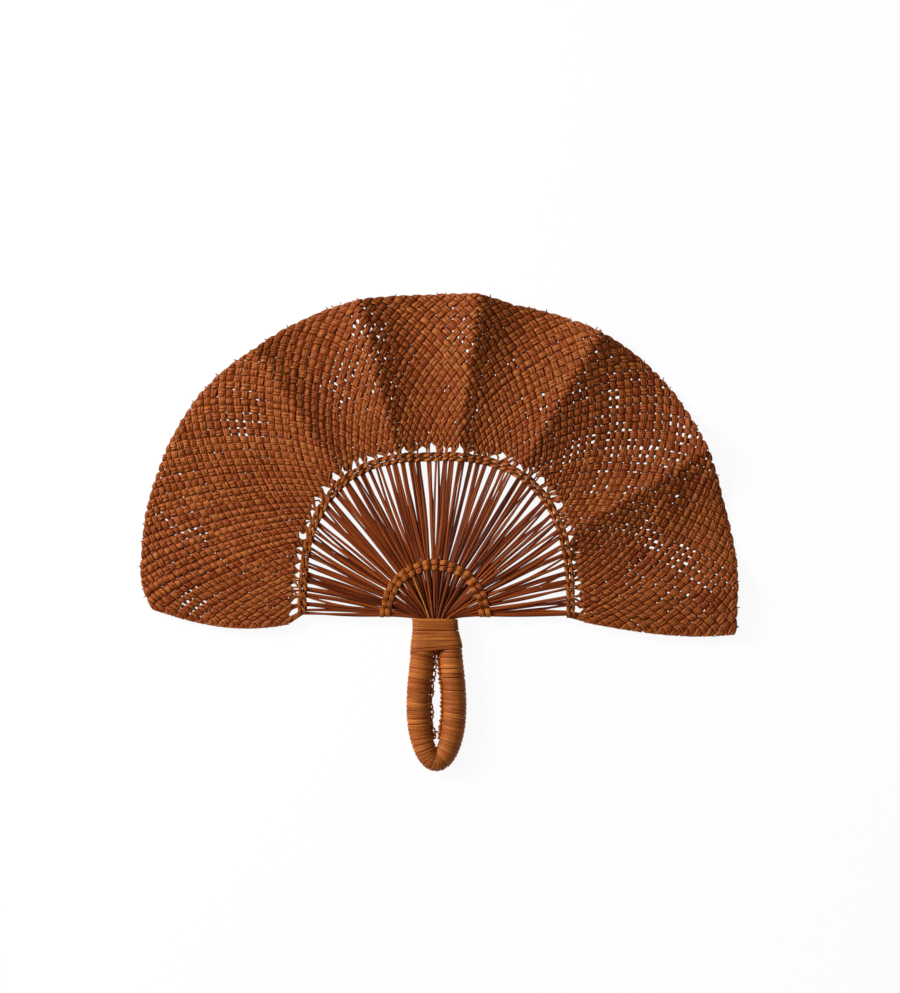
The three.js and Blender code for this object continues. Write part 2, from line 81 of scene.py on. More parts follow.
camera_data = bpy.data.cameras.new("camera_above")
camera = bpy.data.objects.new("camera_above", camera_data)
bpy.context.scene.collection.objects.link(camera)
camera_data.lens = camera_data.sensor_width * CAMERA_HEIGHT / (PICTURE_HEIGHT * METRES_PER_PIXEL)
camera.location = (
    FOCUS[0] + (PICTURE_WIDTH / 2 - FOCUS_PIXEL[0]) * METRES_PER_PIXEL,
    FOCUS[1] + (FOCUS_PIXEL[1] - PICTURE_HEIGHT / 2) * METRES_PER_PIXEL,
    CAMERA_HEIGHT,
)
bpy.context.scene.camera = camera
bpy.context.scene.view_settings.view_transform = "Standard"
print("camera lens", round(camera_data.lens, 1), "mm at", tuple(camera.location))

# %% [markdown]
# ## Nodes and colours
# Colours are picked as sRGB hex values, the way a picture editor shows them, but shaders work in linear
# light, so one function converts them. A second one adds any node and fills or links its sockets. Three
# more use it for a sum, a change of range and a mix of colours, so a material reads as a short recipe.

# %% Colour and node helpers
def linear(hex_colour):
    """An sRGB hex colour as the linear colour that a shader socket takes."""
    channels = [int(hex_colour[at:at + 2], 16) / 255 for at in (1, 3, 5)]
    return [c / 12.92 if c <= 0.04045 else ((c + 0.055) / 1.055) ** 2.4 for c in channels] + [1.0]


def add_node(tree, kind, settings, sockets):
    """Adds a node, sets its settings, and gives each named or numbered socket a value or a link."""
    node = tree.nodes.new(kind)
    for name, value in settings.items():
        setattr(node, name, value)
    for name, value in sockets.items():
        if isinstance(value, bpy.types.NodeSocket):
            tree.links.new(value, node.inputs[name])
        else:
            node.inputs[name].default_value = value
    return node


def empty_tree(holder):
    """The node tree of a material or a world, with nothing in it."""
    holder.use_nodes = True
    holder.node_tree.nodes.clear()
    return holder.node_tree


def worked_out(tree, operation, first, second=0.0, clamp=False):
    """The result of one sum, kept from 0 to 1 if it is clamped."""
    settings = {"operation": operation, "use_clamp": clamp}
    return add_node(tree, "ShaderNodeMath", settings, {0: first, 1: second}).outputs[0]


def carried(tree, value, source, target):
    """A value carried from one range to another, and held at its ends."""
    ends = {"From Min": source[0], "From Max": source[1], "To Min": target[0], "To Max": target[1]}
    return add_node(tree, "ShaderNodeMapRange", {}, {"Value": value, **ends}).outputs[0]


def mixed(tree, share, first, second):
    """Two colours mixed by a share."""
    sockets = {"Factor": share, "A": first, "B": second}
    return add_node(tree, "ShaderNodeMix", {"data_type": "RGBA"}, sockets).outputs["Result"]


print("mid straw brown in linear light:", [round(c, 3) for c in linear("#96552a")])

# %% [markdown]
# ## Table and light
# To the camera the white table is mostly an even glow, with a little plain paint mixed in, so a soft
# shadow stays. To every other ray but mirrored ones it is white paint, which lifts the underside of the
# straws. The light is a soft window on the left, a weak one on the right, and an even grey room. Together
# they light a level surface at about full strength, so that a colour renders as it is written.

# %% White table
TABLE_SIZE = 40.0
TABLE_DROP = 0.0003
TABLE_GLOW = 0.93

bpy.ops.object.select_all(action="DESELECT")
bpy.ops.mesh.primitive_plane_add(size=TABLE_SIZE, location=(0, 0, -TABLE_DROP))
table = bpy.context.object
table.name = "table"
white = bpy.data.materials.new("white_table_paint")
white_tree = empty_tree(white)
rays = add_node(white_tree, "ShaderNodeLightPath", {}, {}).outputs
mirrored = worked_out(white_tree, "MAXIMUM", rays["Is Glossy Ray"], rays["Is Transmission Ray"])
seen = worked_out(white_tree, "MAXIMUM", rays["Is Camera Ray"], mirrored)
share = worked_out(white_tree, "MULTIPLY", seen, TABLE_GLOW)
paint = add_node(white_tree, "ShaderNodeBsdfDiffuse", {}, {"Color": linear("#f6f6f6")})
glow = add_node(white_tree, "ShaderNodeEmission", {}, {"Color": linear("#ffffff"), "Strength": 1.0})
table_mix = add_node(white_tree, "ShaderNodeMixShader", {},
                     {0: share, 1: paint.outputs[0], 2: glow.outputs[0]})
add_node(white_tree, "ShaderNodeOutputMaterial", {}, {"Surface": table_mix.outputs[0]})
table.data.materials.append(white)
print("table", TABLE_SIZE, "m square")

# %% Window light from the left, a weak one from the right, and an even room
KEY_PLACE = (-1.18, 0.52, 0.80)
KEY_SIZE = 0.65
KEY_POWER = 37
FILL_PLACE = (1.3, -0.5, 1.6)
FILL_SIZE = 1.5
FILL_POWER = 4
ROOM_LEVEL = 0.25


def window_light(name, place, size, power):
    """A square lamp that faces the middle of the fan."""
    lamp = bpy.data.lights.new(name, "AREA")
    lamp.size = size
    lamp.energy = power
    holder = bpy.data.objects.new(name, lamp)
    bpy.context.scene.collection.objects.link(holder)
    holder.location = place
    holder.rotation_euler = (-holder.location).to_track_quat("-Z", "Y").to_euler()


window_light("left_window", KEY_PLACE, KEY_SIZE, KEY_POWER)
window_light("right_window", FILL_PLACE, FILL_SIZE, FILL_POWER)
room = bpy.data.worlds.new("grey_room")
room_tree = empty_tree(room)
room_light = add_node(room_tree, "ShaderNodeBackground", {},
                      {"Color": linear("#ffffff"), "Strength": ROOM_LEVEL})
add_node(room_tree, "ShaderNodeOutputWorld", {}, {"Surface": room_light.outputs[0]})
bpy.context.scene.world = room
print("lamps:", [lamp.name for lamp in bpy.data.lights])

# %% [markdown]
# ## The finish: dyed palm straw
# Palm straw is split leaf, boiled in dye and dried. Each straw takes the dye a little differently, the dye
# lies in patches along it, and fine fibres run its whole length. The surface is satin, never glossy. The
# grooves between the lobes of a strip and its two edges are painted darker, as shade. Each straw carries
# coordinates as a
# mesh attribute: how far across it a point lies, how far along it in metres, and a tone of its own, which on
# the plait also holds painted light and shade. Patterns that follow them bend with the straw.

# %% One recipe for all dyed straw
STRAW_PLACE = "straw_place"
STRIP_LOBES = 3
NOISE_RANGE = (0.3, 0.7)
FIBRE_TONE_SCALE = 50.0
PATCH_TONE_SCALE = 80.0
PATCH_ACROSS = 0.5
PATCH_STRENGTH = 0.35
FIBRE_RANGE = (0.35, 0.6)
FIBRE_STAIN = 0.6
GROOVE_SHADE_RANGE = (0.2, -1.0)
STAIN_AND_SHADE_SHARES = (0.75, 0.30, 0.06, 1.0)
SATIN_RANGE = (0.62, 0.45)
SPECULAR_LEVEL = 0.12
BUMP_STRENGTH = 0.5
BUMP_HEIGHT = 0.0002


def straw_noise(tree, place, scale, detail, roughness):
    """Noise that is stretched along a straw. The tone sets each straw apart from the others."""
    stretched = add_node(tree, "ShaderNodeVectorMath", {"operation": "MULTIPLY"}, {0: place, 1: scale})
    sockets = {"Vector": stretched.outputs[0], "Scale": 1.0, "Detail": detail, "Roughness": roughness}
    return add_node(tree, "ShaderNodeTexNoise", {}, sockets).outputs["Fac"]


def dyed_straw(name, dark, light, fibres, fibre_length, patch_length, groove_shade):
    """Dyed palm straw: two dyes, fibres across it, their length, the length of patches, painted shade in
    grooves.
    """
    material = bpy.data.materials.new(name)
    tree = empty_tree(material)
    place = add_node(tree, "ShaderNodeAttribute", {"attribute_name": STRAW_PLACE}, {}).outputs["Vector"]
    parts = add_node(tree, "ShaderNodeSeparateXYZ", {}, {0: place}).outputs
    # Fibres: noise drawn out along the straw, coarser than real fibres, which are too fine to show.
    fibre_scale = (fibres / 2, 1 / fibre_length, FIBRE_TONE_SCALE)
    fibre = straw_noise(tree, place, fibre_scale, detail=3.0, roughness=0.6)
    # Dye: broad patches along each straw, on top of the tone that the straw has from end to end.
    patch_scale = (PATCH_ACROSS, 1 / patch_length, PATCH_TONE_SCALE)
    patch = straw_noise(tree, place, patch_scale, detail=2.0, roughness=0.5)
    patch = carried(tree, patch, NOISE_RANGE, (-PATCH_STRENGTH, PATCH_STRENGTH))
    tone = worked_out(tree, "ADD", parts["Z"], patch, clamp=True)
    dye = mixed(tree, tone, linear(dark), linear(light))
    # Fibres hold more dye. The grooves between the lobes of a strip and its two edges are painted darker, as
    # shade.
    fibre_stain = carried(tree, fibre, FIBRE_RANGE, (FIBRE_STAIN, 0.0))
    lobe = worked_out(tree, "MULTIPLY", parts["X"], STRIP_LOBES * np.pi)
    # Painted shade: darkest in the grooves between lobes and at the two edges, by the given strength.
    groove_painted_shade = carried(tree, worked_out(tree, "COSINE", lobe), GROOVE_SHADE_RANGE, (0.0, groove_shade))
    stain_and_shade = worked_out(tree, "MAXIMUM", fibre_stain, groove_painted_shade)
    # One deep colour serves both the dye in the fibres and the painted shade in the grooves.
    deep_stain_and_shade = [channel * share for channel, share in zip(linear(dark), STAIN_AND_SHADE_SHARES)]
    stained_and_shaded = mixed(tree, stain_and_shade, dye, deep_stain_and_shade)
    gleam = carried(tree, fibre, NOISE_RANGE, SATIN_RANGE)
    ridge = add_node(tree, "ShaderNodeBump", {},
                     {"Strength": BUMP_STRENGTH, "Distance": BUMP_HEIGHT, "Height": fibre})
    straw = add_node(tree, "ShaderNodeBsdfPrincipled", {},
                     {"Base Color": stained_and_shaded, "Roughness": gleam, "Specular IOR Level": SPECULAR_LEVEL,
                      "Normal": ridge.outputs[0]})
    add_node(tree, "ShaderNodeOutputMaterial", {}, {"Surface": straw.outputs[0]})
    return material


# Flat leaf strips: warm brown, each strip of its own shade, with a soft gleam on the knuckles.
blade_straw = dyed_straw("dyed_leaf_strip", "#6b2103", "#b46b2f", 9, 0.012, 0.011, 0.9)
# Round rib straws: redder and darker, drawn smooth, with long fibres.
rib_straw = dyed_straw("dyed_rib_straw", "#4c1904", "#a04c18", 5, 0.050, 0.040, 0.3)
# Twining straws: lighter and more golden, because they were bound on wet and rubbed.
twine_straw = dyed_straw("dyed_twining_straw", "#763714", "#c4722e", 5, 0.010, 0.012, 0.5)
# Wrapping strips: the lightest, with pale rubbed places where hands hold them.
wrap_straw = dyed_straw("dyed_wrapping_strip", "#7e3a12", "#cd7e36", 7, 0.020, 0.035, 0.75)
# One rib straw took hardly any dye at its foot and stayed ochre there.
pale_straw = dyed_straw("ochre_rib_straw", "#6a3312", "#bb7c34", 5, 0.050, 0.040, 0.25)
print("straw finishes:", [m.name for m in bpy.data.materials if "straw" in m.name or "strip" in m.name])

# %% [markdown]
# ## One straw, modelled once
# Every piece of this fan is made of straws laid along some route. By hand you would model one straight
# straw, copy it and bend each copy. The blank is a cylinder whose length edges are subdivided into rings.
# Bending by operator needs a window, so the rings of each copy are moved by code. Copies of one piece are
# then joined. Each takes a strip of its own on a texture map, so that colours can be baked later.

# %% The straight blank
MAP_NAME = "OFBake"
LEVEL_EDGE = 1e-6
blanks = {}


def straw_blank(sides, steps):
    """A straight straw of unit length, and each corner's ring and side. Steps are tens, from 20."""
    if (sides, steps) in blanks:
        return blanks[sides, steps]
    bpy.ops.object.select_all(action="DESELECT")
    bpy.ops.mesh.primitive_cylinder_add(vertices=sides, radius=1, depth=1, location=(0, 0, 0.5))
    straw = bpy.context.object
    bpy.ops.object.transform_apply(location=True)
    for parts in (10, steps // 10):
        bpy.ops.object.mode_set(mode="EDIT")
        bpy.ops.mesh.select_mode(type="EDGE")
        bpy.ops.mesh.normals_make_consistent(inside=False)
        bpy.ops.mesh.select_all(action="DESELECT")
        bpy.ops.object.mode_set(mode="OBJECT")
        for edge in straw.data.edges:
            low, high = (straw.data.vertices[corner].co.z for corner in edge.vertices)
            edge.select = abs(high - low) > LEVEL_EDGE
        bpy.ops.object.mode_set(mode="EDIT")
        bpy.ops.mesh.subdivide(number_cuts=parts - 1)
        bpy.ops.mesh.select_all(action="SELECT")
        bpy.ops.object.mode_set(mode="OBJECT")
    bpy.ops.object.shade_smooth()
    mesh = straw.data
    bpy.data.objects.remove(straw)
    corners = np.array([vertex.co for vertex in mesh.vertices])
    ring = np.rint(corners[:, 2] * steps).astype(int)
    turn = np.arctan2(corners[:, 0], corners[:, 1]) / (2 * np.pi)
    side = np.rint(turn * sides).astype(int) % sides
    while mesh.uv_layers:
        mesh.uv_layers.remove(mesh.uv_layers[0])
    strip = mesh.uv_layers.new(name=MAP_NAME)
    for face in mesh.polygons:
        held = [mesh.loops[loop].vertex_index for loop in face.loop_indices]
        seam = len(held) == 4 and max(side[held]) - min(side[held]) > 1
        for loop, corner in zip(face.loop_indices, held):
            around = side[corner] + (sides if seam and side[corner] == 0 else 0)
            strip.data[loop].uv = (around / sides, ring[corner] / steps)
    mesh.attributes.new(STRAW_PLACE, "FLOAT_VECTOR", "POINT")
    blanks[sides, steps] = SimpleNamespace(mesh=mesh, ring=ring, side=side)
    return blanks[sides, steps]


print("blank straw:", len(straw_blank(12, 20).mesh.polygons), "faces")

# %% Bent copies, joined into a piece
MAP_MARGIN = 0.04


def bent_straw(points, across, along, tone):
    """A copy of the blank with its rings at points, which holds one row of corners for each ring."""
    rings, sides = points.shape[:2]
    blank = straw_blank(sides, rings - 1)
    mesh = blank.mesh.copy()
    mesh.vertices.foreach_set("co", points[blank.ring, blank.side].ravel())
    place = np.empty((len(blank.ring), 3))
    place[:, 0] = np.broadcast_to(across, (rings, sides))[blank.ring, blank.side]
    place[:, 1] = along[blank.ring]
    place[:, 2] = np.broadcast_to(tone, rings)[blank.ring]
    mesh.attributes[STRAW_PLACE].data.foreach_set("vector", place.ravel())
    mesh.update()
    return mesh


def lay_strips(meshes, shelves):
    """Gives each straw of a piece its own strip of the texture map, on a few shelves."""
    columns = -(-len(meshes) // shelves)
    for number, mesh in enumerate(meshes):
        shelf, column = divmod(number, columns)
        strip = np.empty(len(mesh.loops) * 2)
        mesh.uv_layers[MAP_NAME].data.foreach_get("uv", strip)
        strip = strip.reshape(-1, 2) * (1 - 2 * MAP_MARGIN) + MAP_MARGIN
        strip = (strip + (column, shelf)) / (columns, shelves)
        mesh.uv_layers[MAP_NAME].data.foreach_set("uv", strip.ravel())


def straw_piece(name, meshes, material, nodes, shelves=1):
    """Joins bent straws into one named piece that rides on the fan and stands for the given solids."""
    lay_strips(meshes, shelves)
    copies = [bpy.data.objects.new(name, mesh) for mesh in meshes]
    bpy.ops.object.select_all(action="DESELECT")
    for copy in copies:
        bpy.context.scene.collection.objects.link(copy)
        copy.select_set(True)
    bpy.context.view_layer.objects.active = copies[0]
    if len(copies) > 1:
        bpy.ops.object.join()
    piece = bpy.context.object
    piece.name = name
    piece.data.name = name
    piece.data.materials.clear()
    piece.data.materials.append(material)
    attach(piece, "root")
    if nodes:
        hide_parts(*nodes)
    print(name, "made of", len(meshes), "straws,", len(piece.data.polygons), "faces")


print("blanks ready to be bent:", len(blanks))

# %% [markdown]
# A strip of palm leaf is not a plain ribbon. It is one to three fibres wide, with shallow grooves
# between them, and thin edges. Its section is therefore a flat lens with lobes. A rib straw is rounder.
# Sections are given once, as how far across and how high each corner lies, from -1 to 1. A straw is a
# section swept along a route.

# %% Sections of a strip and of a straw
STRIP_SIDES = 12
LOBE_DEPTH = 0.36
CROWN_POWER = 0.42
ROUND_SIDES = 8


def lobe_place(across, lobes):
    """Where a point lies across the lobes, so that the finish stains the same grooves as the shape has."""
    return (across + 1) * lobes / STRIP_LOBES - (1 if lobes == STRIP_LOBES else 1 / STRIP_LOBES)


def strip_section(lobes):
    """Corners of a flat lens with lobes, as shares of half its width and half its thickness."""
    corner = np.arange(STRIP_SIDES) * 2 / STRIP_SIDES
    across = 2 * np.abs(1 - corner) - 1
    crown = (1 - across**2) ** CROWN_POWER
    ridges = 1 - LOBE_DEPTH + LOBE_DEPTH * np.cos(STRIP_LOBES * np.pi * lobe_place(across, lobes))
    return across, np.where(corner < 1, 1, -1) * crown * ridges


round_corners = np.arange(ROUND_SIDES) * 2 * np.pi / ROUND_SIDES
ROUND = (np.cos(round_corners), np.sin(round_corners))
STRIP = strip_section(STRIP_LOBES)
print("strip section heights:", np.round(STRIP[1], 2))


# %% Straws swept along a route
def unit(vectors):
    """The same directions with a length of one."""
    return vectors / np.linalg.norm(vectors, axis=-1, keepdims=True)


def travelled(centre):
    """Distance along a route at each of its points."""
    return np.concatenate([[0], np.cumsum(np.linalg.norm(np.diff(centre, axis=0), axis=1))])


def swept_straw(section, centre, across_way, rise_way, along, tone):
    """A straw along a route, kept above the table. The ways hold half its width and half its thickness."""
    across, rise = section
    points = centre[:, None] + across[:, None] * across_way[:, None]
    points = points + rise[:, None] * rise_way[:, None]
    points[..., 2] = np.maximum(points[..., 2], 0)
    return bent_straw(points, across, along, tone)


def round_straw(centre, half_width, half_height, tone):
    """A round straw along a route, with its width level."""
    forward = unit(np.gradient(centre, axis=0))
    sideways = unit(np.cross(forward, UP))
    rise = np.cross(sideways, forward)
    return swept_straw(ROUND, centre, sideways * half_width, rise * half_height, travelled(centre), tone)


print("sections:", len(STRIP[0]), "corners for a strip,", len(ROUND[0]), "for a round straw")

# %% [markdown]
# ## The shape of the blade
# The blade is a half disc that has been drawn into radial folds. Its rim and the twined arch are rounded
# boxes in outline, given by one formula. Height rises to sharp crests with a hammock between them, and the
# folds deepen from the ribs to the rim, where the troughs rest on the table. The curves are those of the
# solids, in metres, drawn a little closer to the photograph.

# %% Outline and folds
MIDDLE_HEIGHT = 0.0072
FOLD_DEPTH = 0.0062
FOLD_START_RADIUS = 0.066
MOST_FOLD_REACH = 1.05
TWINE_HALF_WIDTH = 0.0893
TWINE_HEIGHT = 0.1048
TWINE_ROUNDNESS = 2.7
RIM_LEFT_REACH = 0.198
RIM_RIGHT_REACH = 0.201
RIM_HEIGHT = 0.2135
RIM_ROUNDNESS = 2.45
LEFT_CORNER_ANGLE = 171
LEFT_CORNER_ROUND = 0.0105
CREST_ANGLES = np.array([-12, 5, 31.3, 60, 82.5, 104, 124.4, 147.5, 167.5, 190])
CREST_SHARES = np.array([0.3, 0.5, 1.3, 1.35, 1.35, 1.3, 0.95, 0.6, 0.4, 0.2])
TROUGH_SHARES = np.array([0.1, -1, -1, -1, -1, -1, -0.55, -0.4, -0.1])
RIM_ANGLES = np.array([-12, 10, 22, 31.3, 60, 76, 82.5, 104, 124.4, 136, 147.5, 160, 167.5, 190])
RIM_DRAWN = np.array([0.002, -0.001, 0.0025, 0.0023, 0.0035, 0.0035, -0.001, 0.0004, 0.006, 0.002, 0.001,
                      -0.0012, -0.0004, 0])
CREST_SOFTNESS = 0.5


def arch_radius(angle, half_width, height, roundness):
    """Distance from the focus to a rounded-box arch, at an angle in degrees."""
    across = np.abs(np.cos(np.radians(angle))) / half_width
    along = np.abs(np.sin(np.radians(angle))) / height
    return (across**roundness + along**roundness) ** (-1 / roundness)


def twine_radius(angle):
    """Distance from the focus to the outer twine."""
    return arch_radius(angle, TWINE_HALF_WIDTH, TWINE_HEIGHT, TWINE_ROUNDNESS)


def rim_radius(angle):
    """Distance from the focus to the rim, drawn in at some angles and rounded at the left corner."""
    reach = np.where(angle > 90, RIM_LEFT_REACH, RIM_RIGHT_REACH)
    turned = np.clip((angle - LEFT_CORNER_ANGLE) / (180 - LEFT_CORNER_ANGLE), 0, 1)
    drawn = np.interp(angle, RIM_ANGLES, RIM_DRAWN) + LEFT_CORNER_ROUND * turned**2
    return arch_radius(angle, reach, RIM_HEIGHT, RIM_ROUNDNESS) - drawn


def sharp_fold(angle):
    """Height of the folds as a share of their depth: crests at given angles and hammocks between them."""
    gap = np.clip(np.searchsorted(CREST_ANGLES, angle) - 1, 0, len(TROUGH_SHARES) - 1)
    start = CREST_ANGLES[gap]
    along = np.clip((angle - start) / (CREST_ANGLES[gap + 1] - start), 0, 1)
    sag = (CREST_SHARES[gap] + CREST_SHARES[gap + 1]) / 2 - TROUGH_SHARES[gap]
    return np.interp(angle, CREST_ANGLES, CREST_SHARES) - sag * 4 * along * (1 - along)


def surface_height(angle, radius):
    """Height of the fan's middle surface, with crests rounded as bent straw rounds them."""
    fold = sharp_fold(angle) / 2
    fold = fold + (sharp_fold(angle - CREST_SOFTNESS) + sharp_fold(angle + CREST_SOFTNESS)) / 4
    reach = (radius - FOLD_START_RADIUS) / (rim_radius(angle) - FOLD_START_RADIUS)
    return MIDDLE_HEIGHT + FOLD_DEPTH * fold * np.clip(reach, 0, MOST_FOLD_REACH)


def from_focus(angle, radius, height):
    """A point at an angle and a radius from the focus."""
    turn = np.radians(angle)
    return np.stack([FOCUS[0] + radius * np.cos(turn), FOCUS[1] + radius * np.sin(turn), height], axis=-1)


def bearing(away):
    """Angles of places that are given from the focus."""
    return np.degrees(np.arctan2(away[:, 1], away[:, 0]))


print("rim at the top:", round(float(rim_radius(np.array(90.0))), 4), "m from the focus")

# %% [markdown]
# Points of the blade are named by a share from the left edge to the right one and a reach from the lace
# to the rim. A plaiter spaces strands evenly along the cloth, not along the table, so the share is measured
# along the ruffled surface: a table of arc lengths at a few reaches gives the angle for each share. On the
# left lobe the strands are crowded a little closer. The two lower edges droop, which bends the angles near
# them.

# %% Points on the ruffled sheet
LACE_WIDTH = 0.008
LACE_REACH = 0.083
LEFT_DROOP = (0.0052, 0.0112, 0.0074, -0.0048)
RIGHT_DROOP = (0.0040, 0.010, 0.015, 0.011)
LEFT_TWINE_DROOP = 0.0005
RIGHT_TWINE_DROOP = 0.0018
EDGE_FADE = 12
REACH_LEVELS = 12
RIM_CURL_ROOM = 0.0018
SHARE_STEPS = 720
LEFT_CROWDING = 0.25
CROWDING_ANGLES = (120, 150)


def bezier(controls, share):
    """A place on a curve with four controls, which are heights or points."""
    rest = 1 - share
    ends = controls[0] * rest**3 + controls[3] * share**3
    return ends + 3 * rest * share * (controls[1] * rest + controls[2] * share)


def droop(controls, twine_droop, reach):
    """How far a lower edge hangs below the focus. Inside the lace it runs straight to the outer twine."""
    inside = np.minimum(reach, 0) / LACE_REACH
    return bezier(controls, np.maximum(reach, 0)) + (controls[0] - twine_droop) * inside


def sheet_angle(share, reach):
    """Angle from the focus of a share of the half turn, bent by the droop of the lower edges."""
    inner = TWINE_HALF_WIDTH + LACE_WIDTH
    left = droop(LEFT_DROOP, LEFT_TWINE_DROOP, reach) / (inner + (RIM_LEFT_REACH - inner) * reach)
    right = droop(RIGHT_DROOP, RIGHT_TWINE_DROOP, reach) / (inner + (RIM_RIGHT_REACH - inner) * reach)
    bent = np.degrees(np.arcsin(left)) * (1 - share) ** EDGE_FADE
    return 180 * (1 - share) + bent - np.degrees(np.arcsin(right)) * share**EDGE_FADE


def sheet_at_angle(angle, reach):
    """A point of the middle surface, by its angle and its reach from the lace to the rim."""
    inner = twine_radius(angle) + LACE_WIDTH
    radius = inner + (rim_radius(angle) - RIM_CURL_ROOM - inner) * reach
    return from_focus(angle, radius, surface_height(angle, radius))


shares = np.linspace(0, 1, SHARE_STEPS + 1)
even_shares = []
for level in np.linspace(0, 1, REACH_LEVELS):
    angles = sheet_angle(shares, level)
    length = travelled(sheet_at_angle(angles, np.full_like(shares, level)))
    print("length of the sheet at reach", round(level, 2), "is", round(float(length[-1]), 3), "m")
    crowding = 1 + LEFT_CROWDING * level * np.interp(angles[1:], CROWDING_ANGLES, (0, 1))
    length = np.concatenate([[0], np.cumsum(np.diff(length) * crowding)])
    even_shares.append(np.interp(shares, length / length[-1], shares))
even_shares = np.array(even_shares)


def sheet_point(share, reach):
    """A point of the middle surface, for arrays of shares and reaches."""
    level = np.clip(reach, 0, 1) * (REACH_LEVELS - 1)
    low = np.minimum(level.astype(int), REACH_LEVELS - 2)
    inside = np.clip(share, 0, 1)
    place = inside * SHARE_STEPS
    left = np.minimum(place.astype(int), SHARE_STEPS - 1)
    past = place - left
    rows = [
        even_shares[low + up, left] * (1 - past) + even_shares[low + up, left + 1] * past
        for up in (0, 1)
    ]
    spaced = rows[0] * (1 - level + low) + rows[1] * (level - low)
    return sheet_at_angle(sheet_angle(spaced + share - inside, reach), reach)


# %% [markdown]
# ## Plaiting the blade
# The blade is plaited on the bias, over one and under one, in two sets of strands that lean to the right and
# to the left. The spacing of the knuckles gives 88 strands each way and 26 rows of even height from the lace
# to the rim. A strand is placed by its line number, and rises and dips once every two rows. A texture would
# not fold back at the rim or open into pinholes, so every strand is a real straw. At the rim and at the
# lower edges it curls to the middle of the thickness, where it meets the strand that it folds back into.
# At the lace it narrows to a tail that runs down to its rib.

# %% Ribs and places on the plait
STRANDS = 88
ROWS = 26
ROW_LENGTH = 0.0054
RIM_TIGHTENING = 0.035
TIGHTENING_POWER = 12
WAVE_HEIGHT = 0.0009
WAVES_ACROSS = 7.3
WAVES_OUT = 1.9
WAVE_SLANT = 3
NUDGE = 1e-3
SPOKES = 57
STRAWS_PER_SPOKE = 4
SPOKE_PITCH_SHARE = 0.125
SPOKE_CHANCE = 0.32
SEED = 57

chance = np.random.default_rng(SEED)
spoke_columns = (np.arange(SPOKES) + 0.5) * STRANDS / SPOKES
spoke_columns = spoke_columns + chance.uniform(-SPOKE_CHANCE, SPOKE_CHANCE, SPOKES)
straw_numbers = np.arange(SPOKES * STRAWS_PER_SPOKE)
beside_spoke = straw_numbers % STRAWS_PER_SPOKE - (STRAWS_PER_SPOKE - 1) / 2
straw_columns = spoke_columns[straw_numbers // STRAWS_PER_SPOKE]
straw_columns = straw_columns + beside_spoke * STRANDS / SPOKES * SPOKE_PITCH_SHARE


def blade_point(column, row, lift):
    """A point above the middle surface, by strand column, row and lift along the surface's normal."""
    share = column / STRANDS
    reach = row / ROWS
    reach = reach + RIM_TIGHTENING * (reach - np.maximum(reach, 0) ** TIGHTENING_POWER)
    wave = np.sin(2 * np.pi * (WAVES_ACROSS * share + reach))
    wave = wave * np.sin(2 * np.pi * (WAVES_OUT * reach - WAVE_SLANT * share))
    lift = lift + WAVE_HEIGHT * wave * np.clip(reach, 0, 1)
    rightward = sheet_point(share + NUDGE, reach) - sheet_point(share - NUDGE, reach)
    outward = sheet_point(share, reach + NUDGE) - sheet_point(share, reach - NUDGE)
    point = sheet_point(share, reach) + unit(np.cross(rightward, outward)) * lift[..., None]
    point[..., 2] = np.maximum(point[..., 2], 0)
    return point


print("ribs:", SPOKES, "of", STRAWS_PER_SPOKE, "straws, plaited as", 2 * STRANDS, "strands")

# %% [markdown]
# Each strand swells and thins by chance along its way, a few are thin for long stretches, and in slack
# places daylight shows between them. A strand is pinched where it passes between two others.

# %% Width of a strand
STRAND_FILL = 1.05
NARROWEST_FILL = 0.6
WIDEST_FILL = 1.14
FILL_CHANCE = 0.075
FILL_ROWS = 1.0
SLACK_ROWS = 2.5
THIN_CHANCE = 0.16
THIN_FILL = 0.22
THIN_ROWS = 6.0
SPREAD = 0.05
PINCH = 0.07
TAIL_ROWS = 2.4
# Places where the plait is slack and daylight shows: share from the left, reach, spreads, and slack.
SLACK_PLACES = (
    (0.750, 0.62, 0.050, 0.34, 0.36),
    (0.812, 0.82, 0.018, 0.12, 0.32),
    (0.875, 0.42, 0.020, 0.10, 0.30),
    (0.924, 0.62, 0.020, 0.10, 0.32),
    (0.960, 0.82, 0.015, 0.10, 0.30),
    (0.540, 0.72, 0.015, 0.12, 0.30),
    (0.435, 0.70, 0.020, 0.20, 0.30),
    (0.385, 0.47, 0.030, 0.15, 0.28),
    (0.265, 0.72, 0.020, 0.14, 0.32),
    (0.158, 0.82, 0.015, 0.10, 0.28),
    (0.107, 0.69, 0.020, 0.15, 0.30),
    (0.022, 0.67, 0.015, 0.12, 0.32),
)


def slack(share, reach):
    """How much narrower strands lie where the plait is slack."""
    total = 0
    for at_share, at_reach, share_spread, reach_spread, amount in SLACK_PLACES:
        away = ((share - at_share) / share_spread) ** 2 + ((reach - at_reach) / reach_spread) ** 2
        total = total + amount * np.exp(-away / 2)
    return total


def chance_wave(rows, spread, step):
    """Chance shifts that change smoothly along a strand, with a new one every few rows."""
    knots = np.arange(-TAIL_ROWS - step, ROWS + 2 * step, step)
    return np.interp(rows, knots, chance.normal(0, spread, len(knots)))


def strand_fill(line, lean, row):
    """Width of a strand at its rows, as a share of the room that a line has."""
    loose = slack((line + 0.5 + lean * row / 2) / STRANDS, row / ROWS)
    fill = STRAND_FILL + chance_wave(row, FILL_CHANCE, FILL_ROWS)
    fill = fill - loose * np.abs(chance_wave(row, 1.0, SLACK_ROWS))
    if chance.random() < THIN_CHANCE:
        fill = fill - THIN_FILL * np.clip(np.abs(chance_wave(row, 1.0, THIN_ROWS)), 0, 1)
    fill = np.clip(fill, NARROWEST_FILL, WIDEST_FILL) + SPREAD * lean * np.cos(np.pi * row)
    return fill * (1 - PINCH * np.abs(np.sin(np.pi * row)))


print("slack places:", len(SLACK_PLACES))

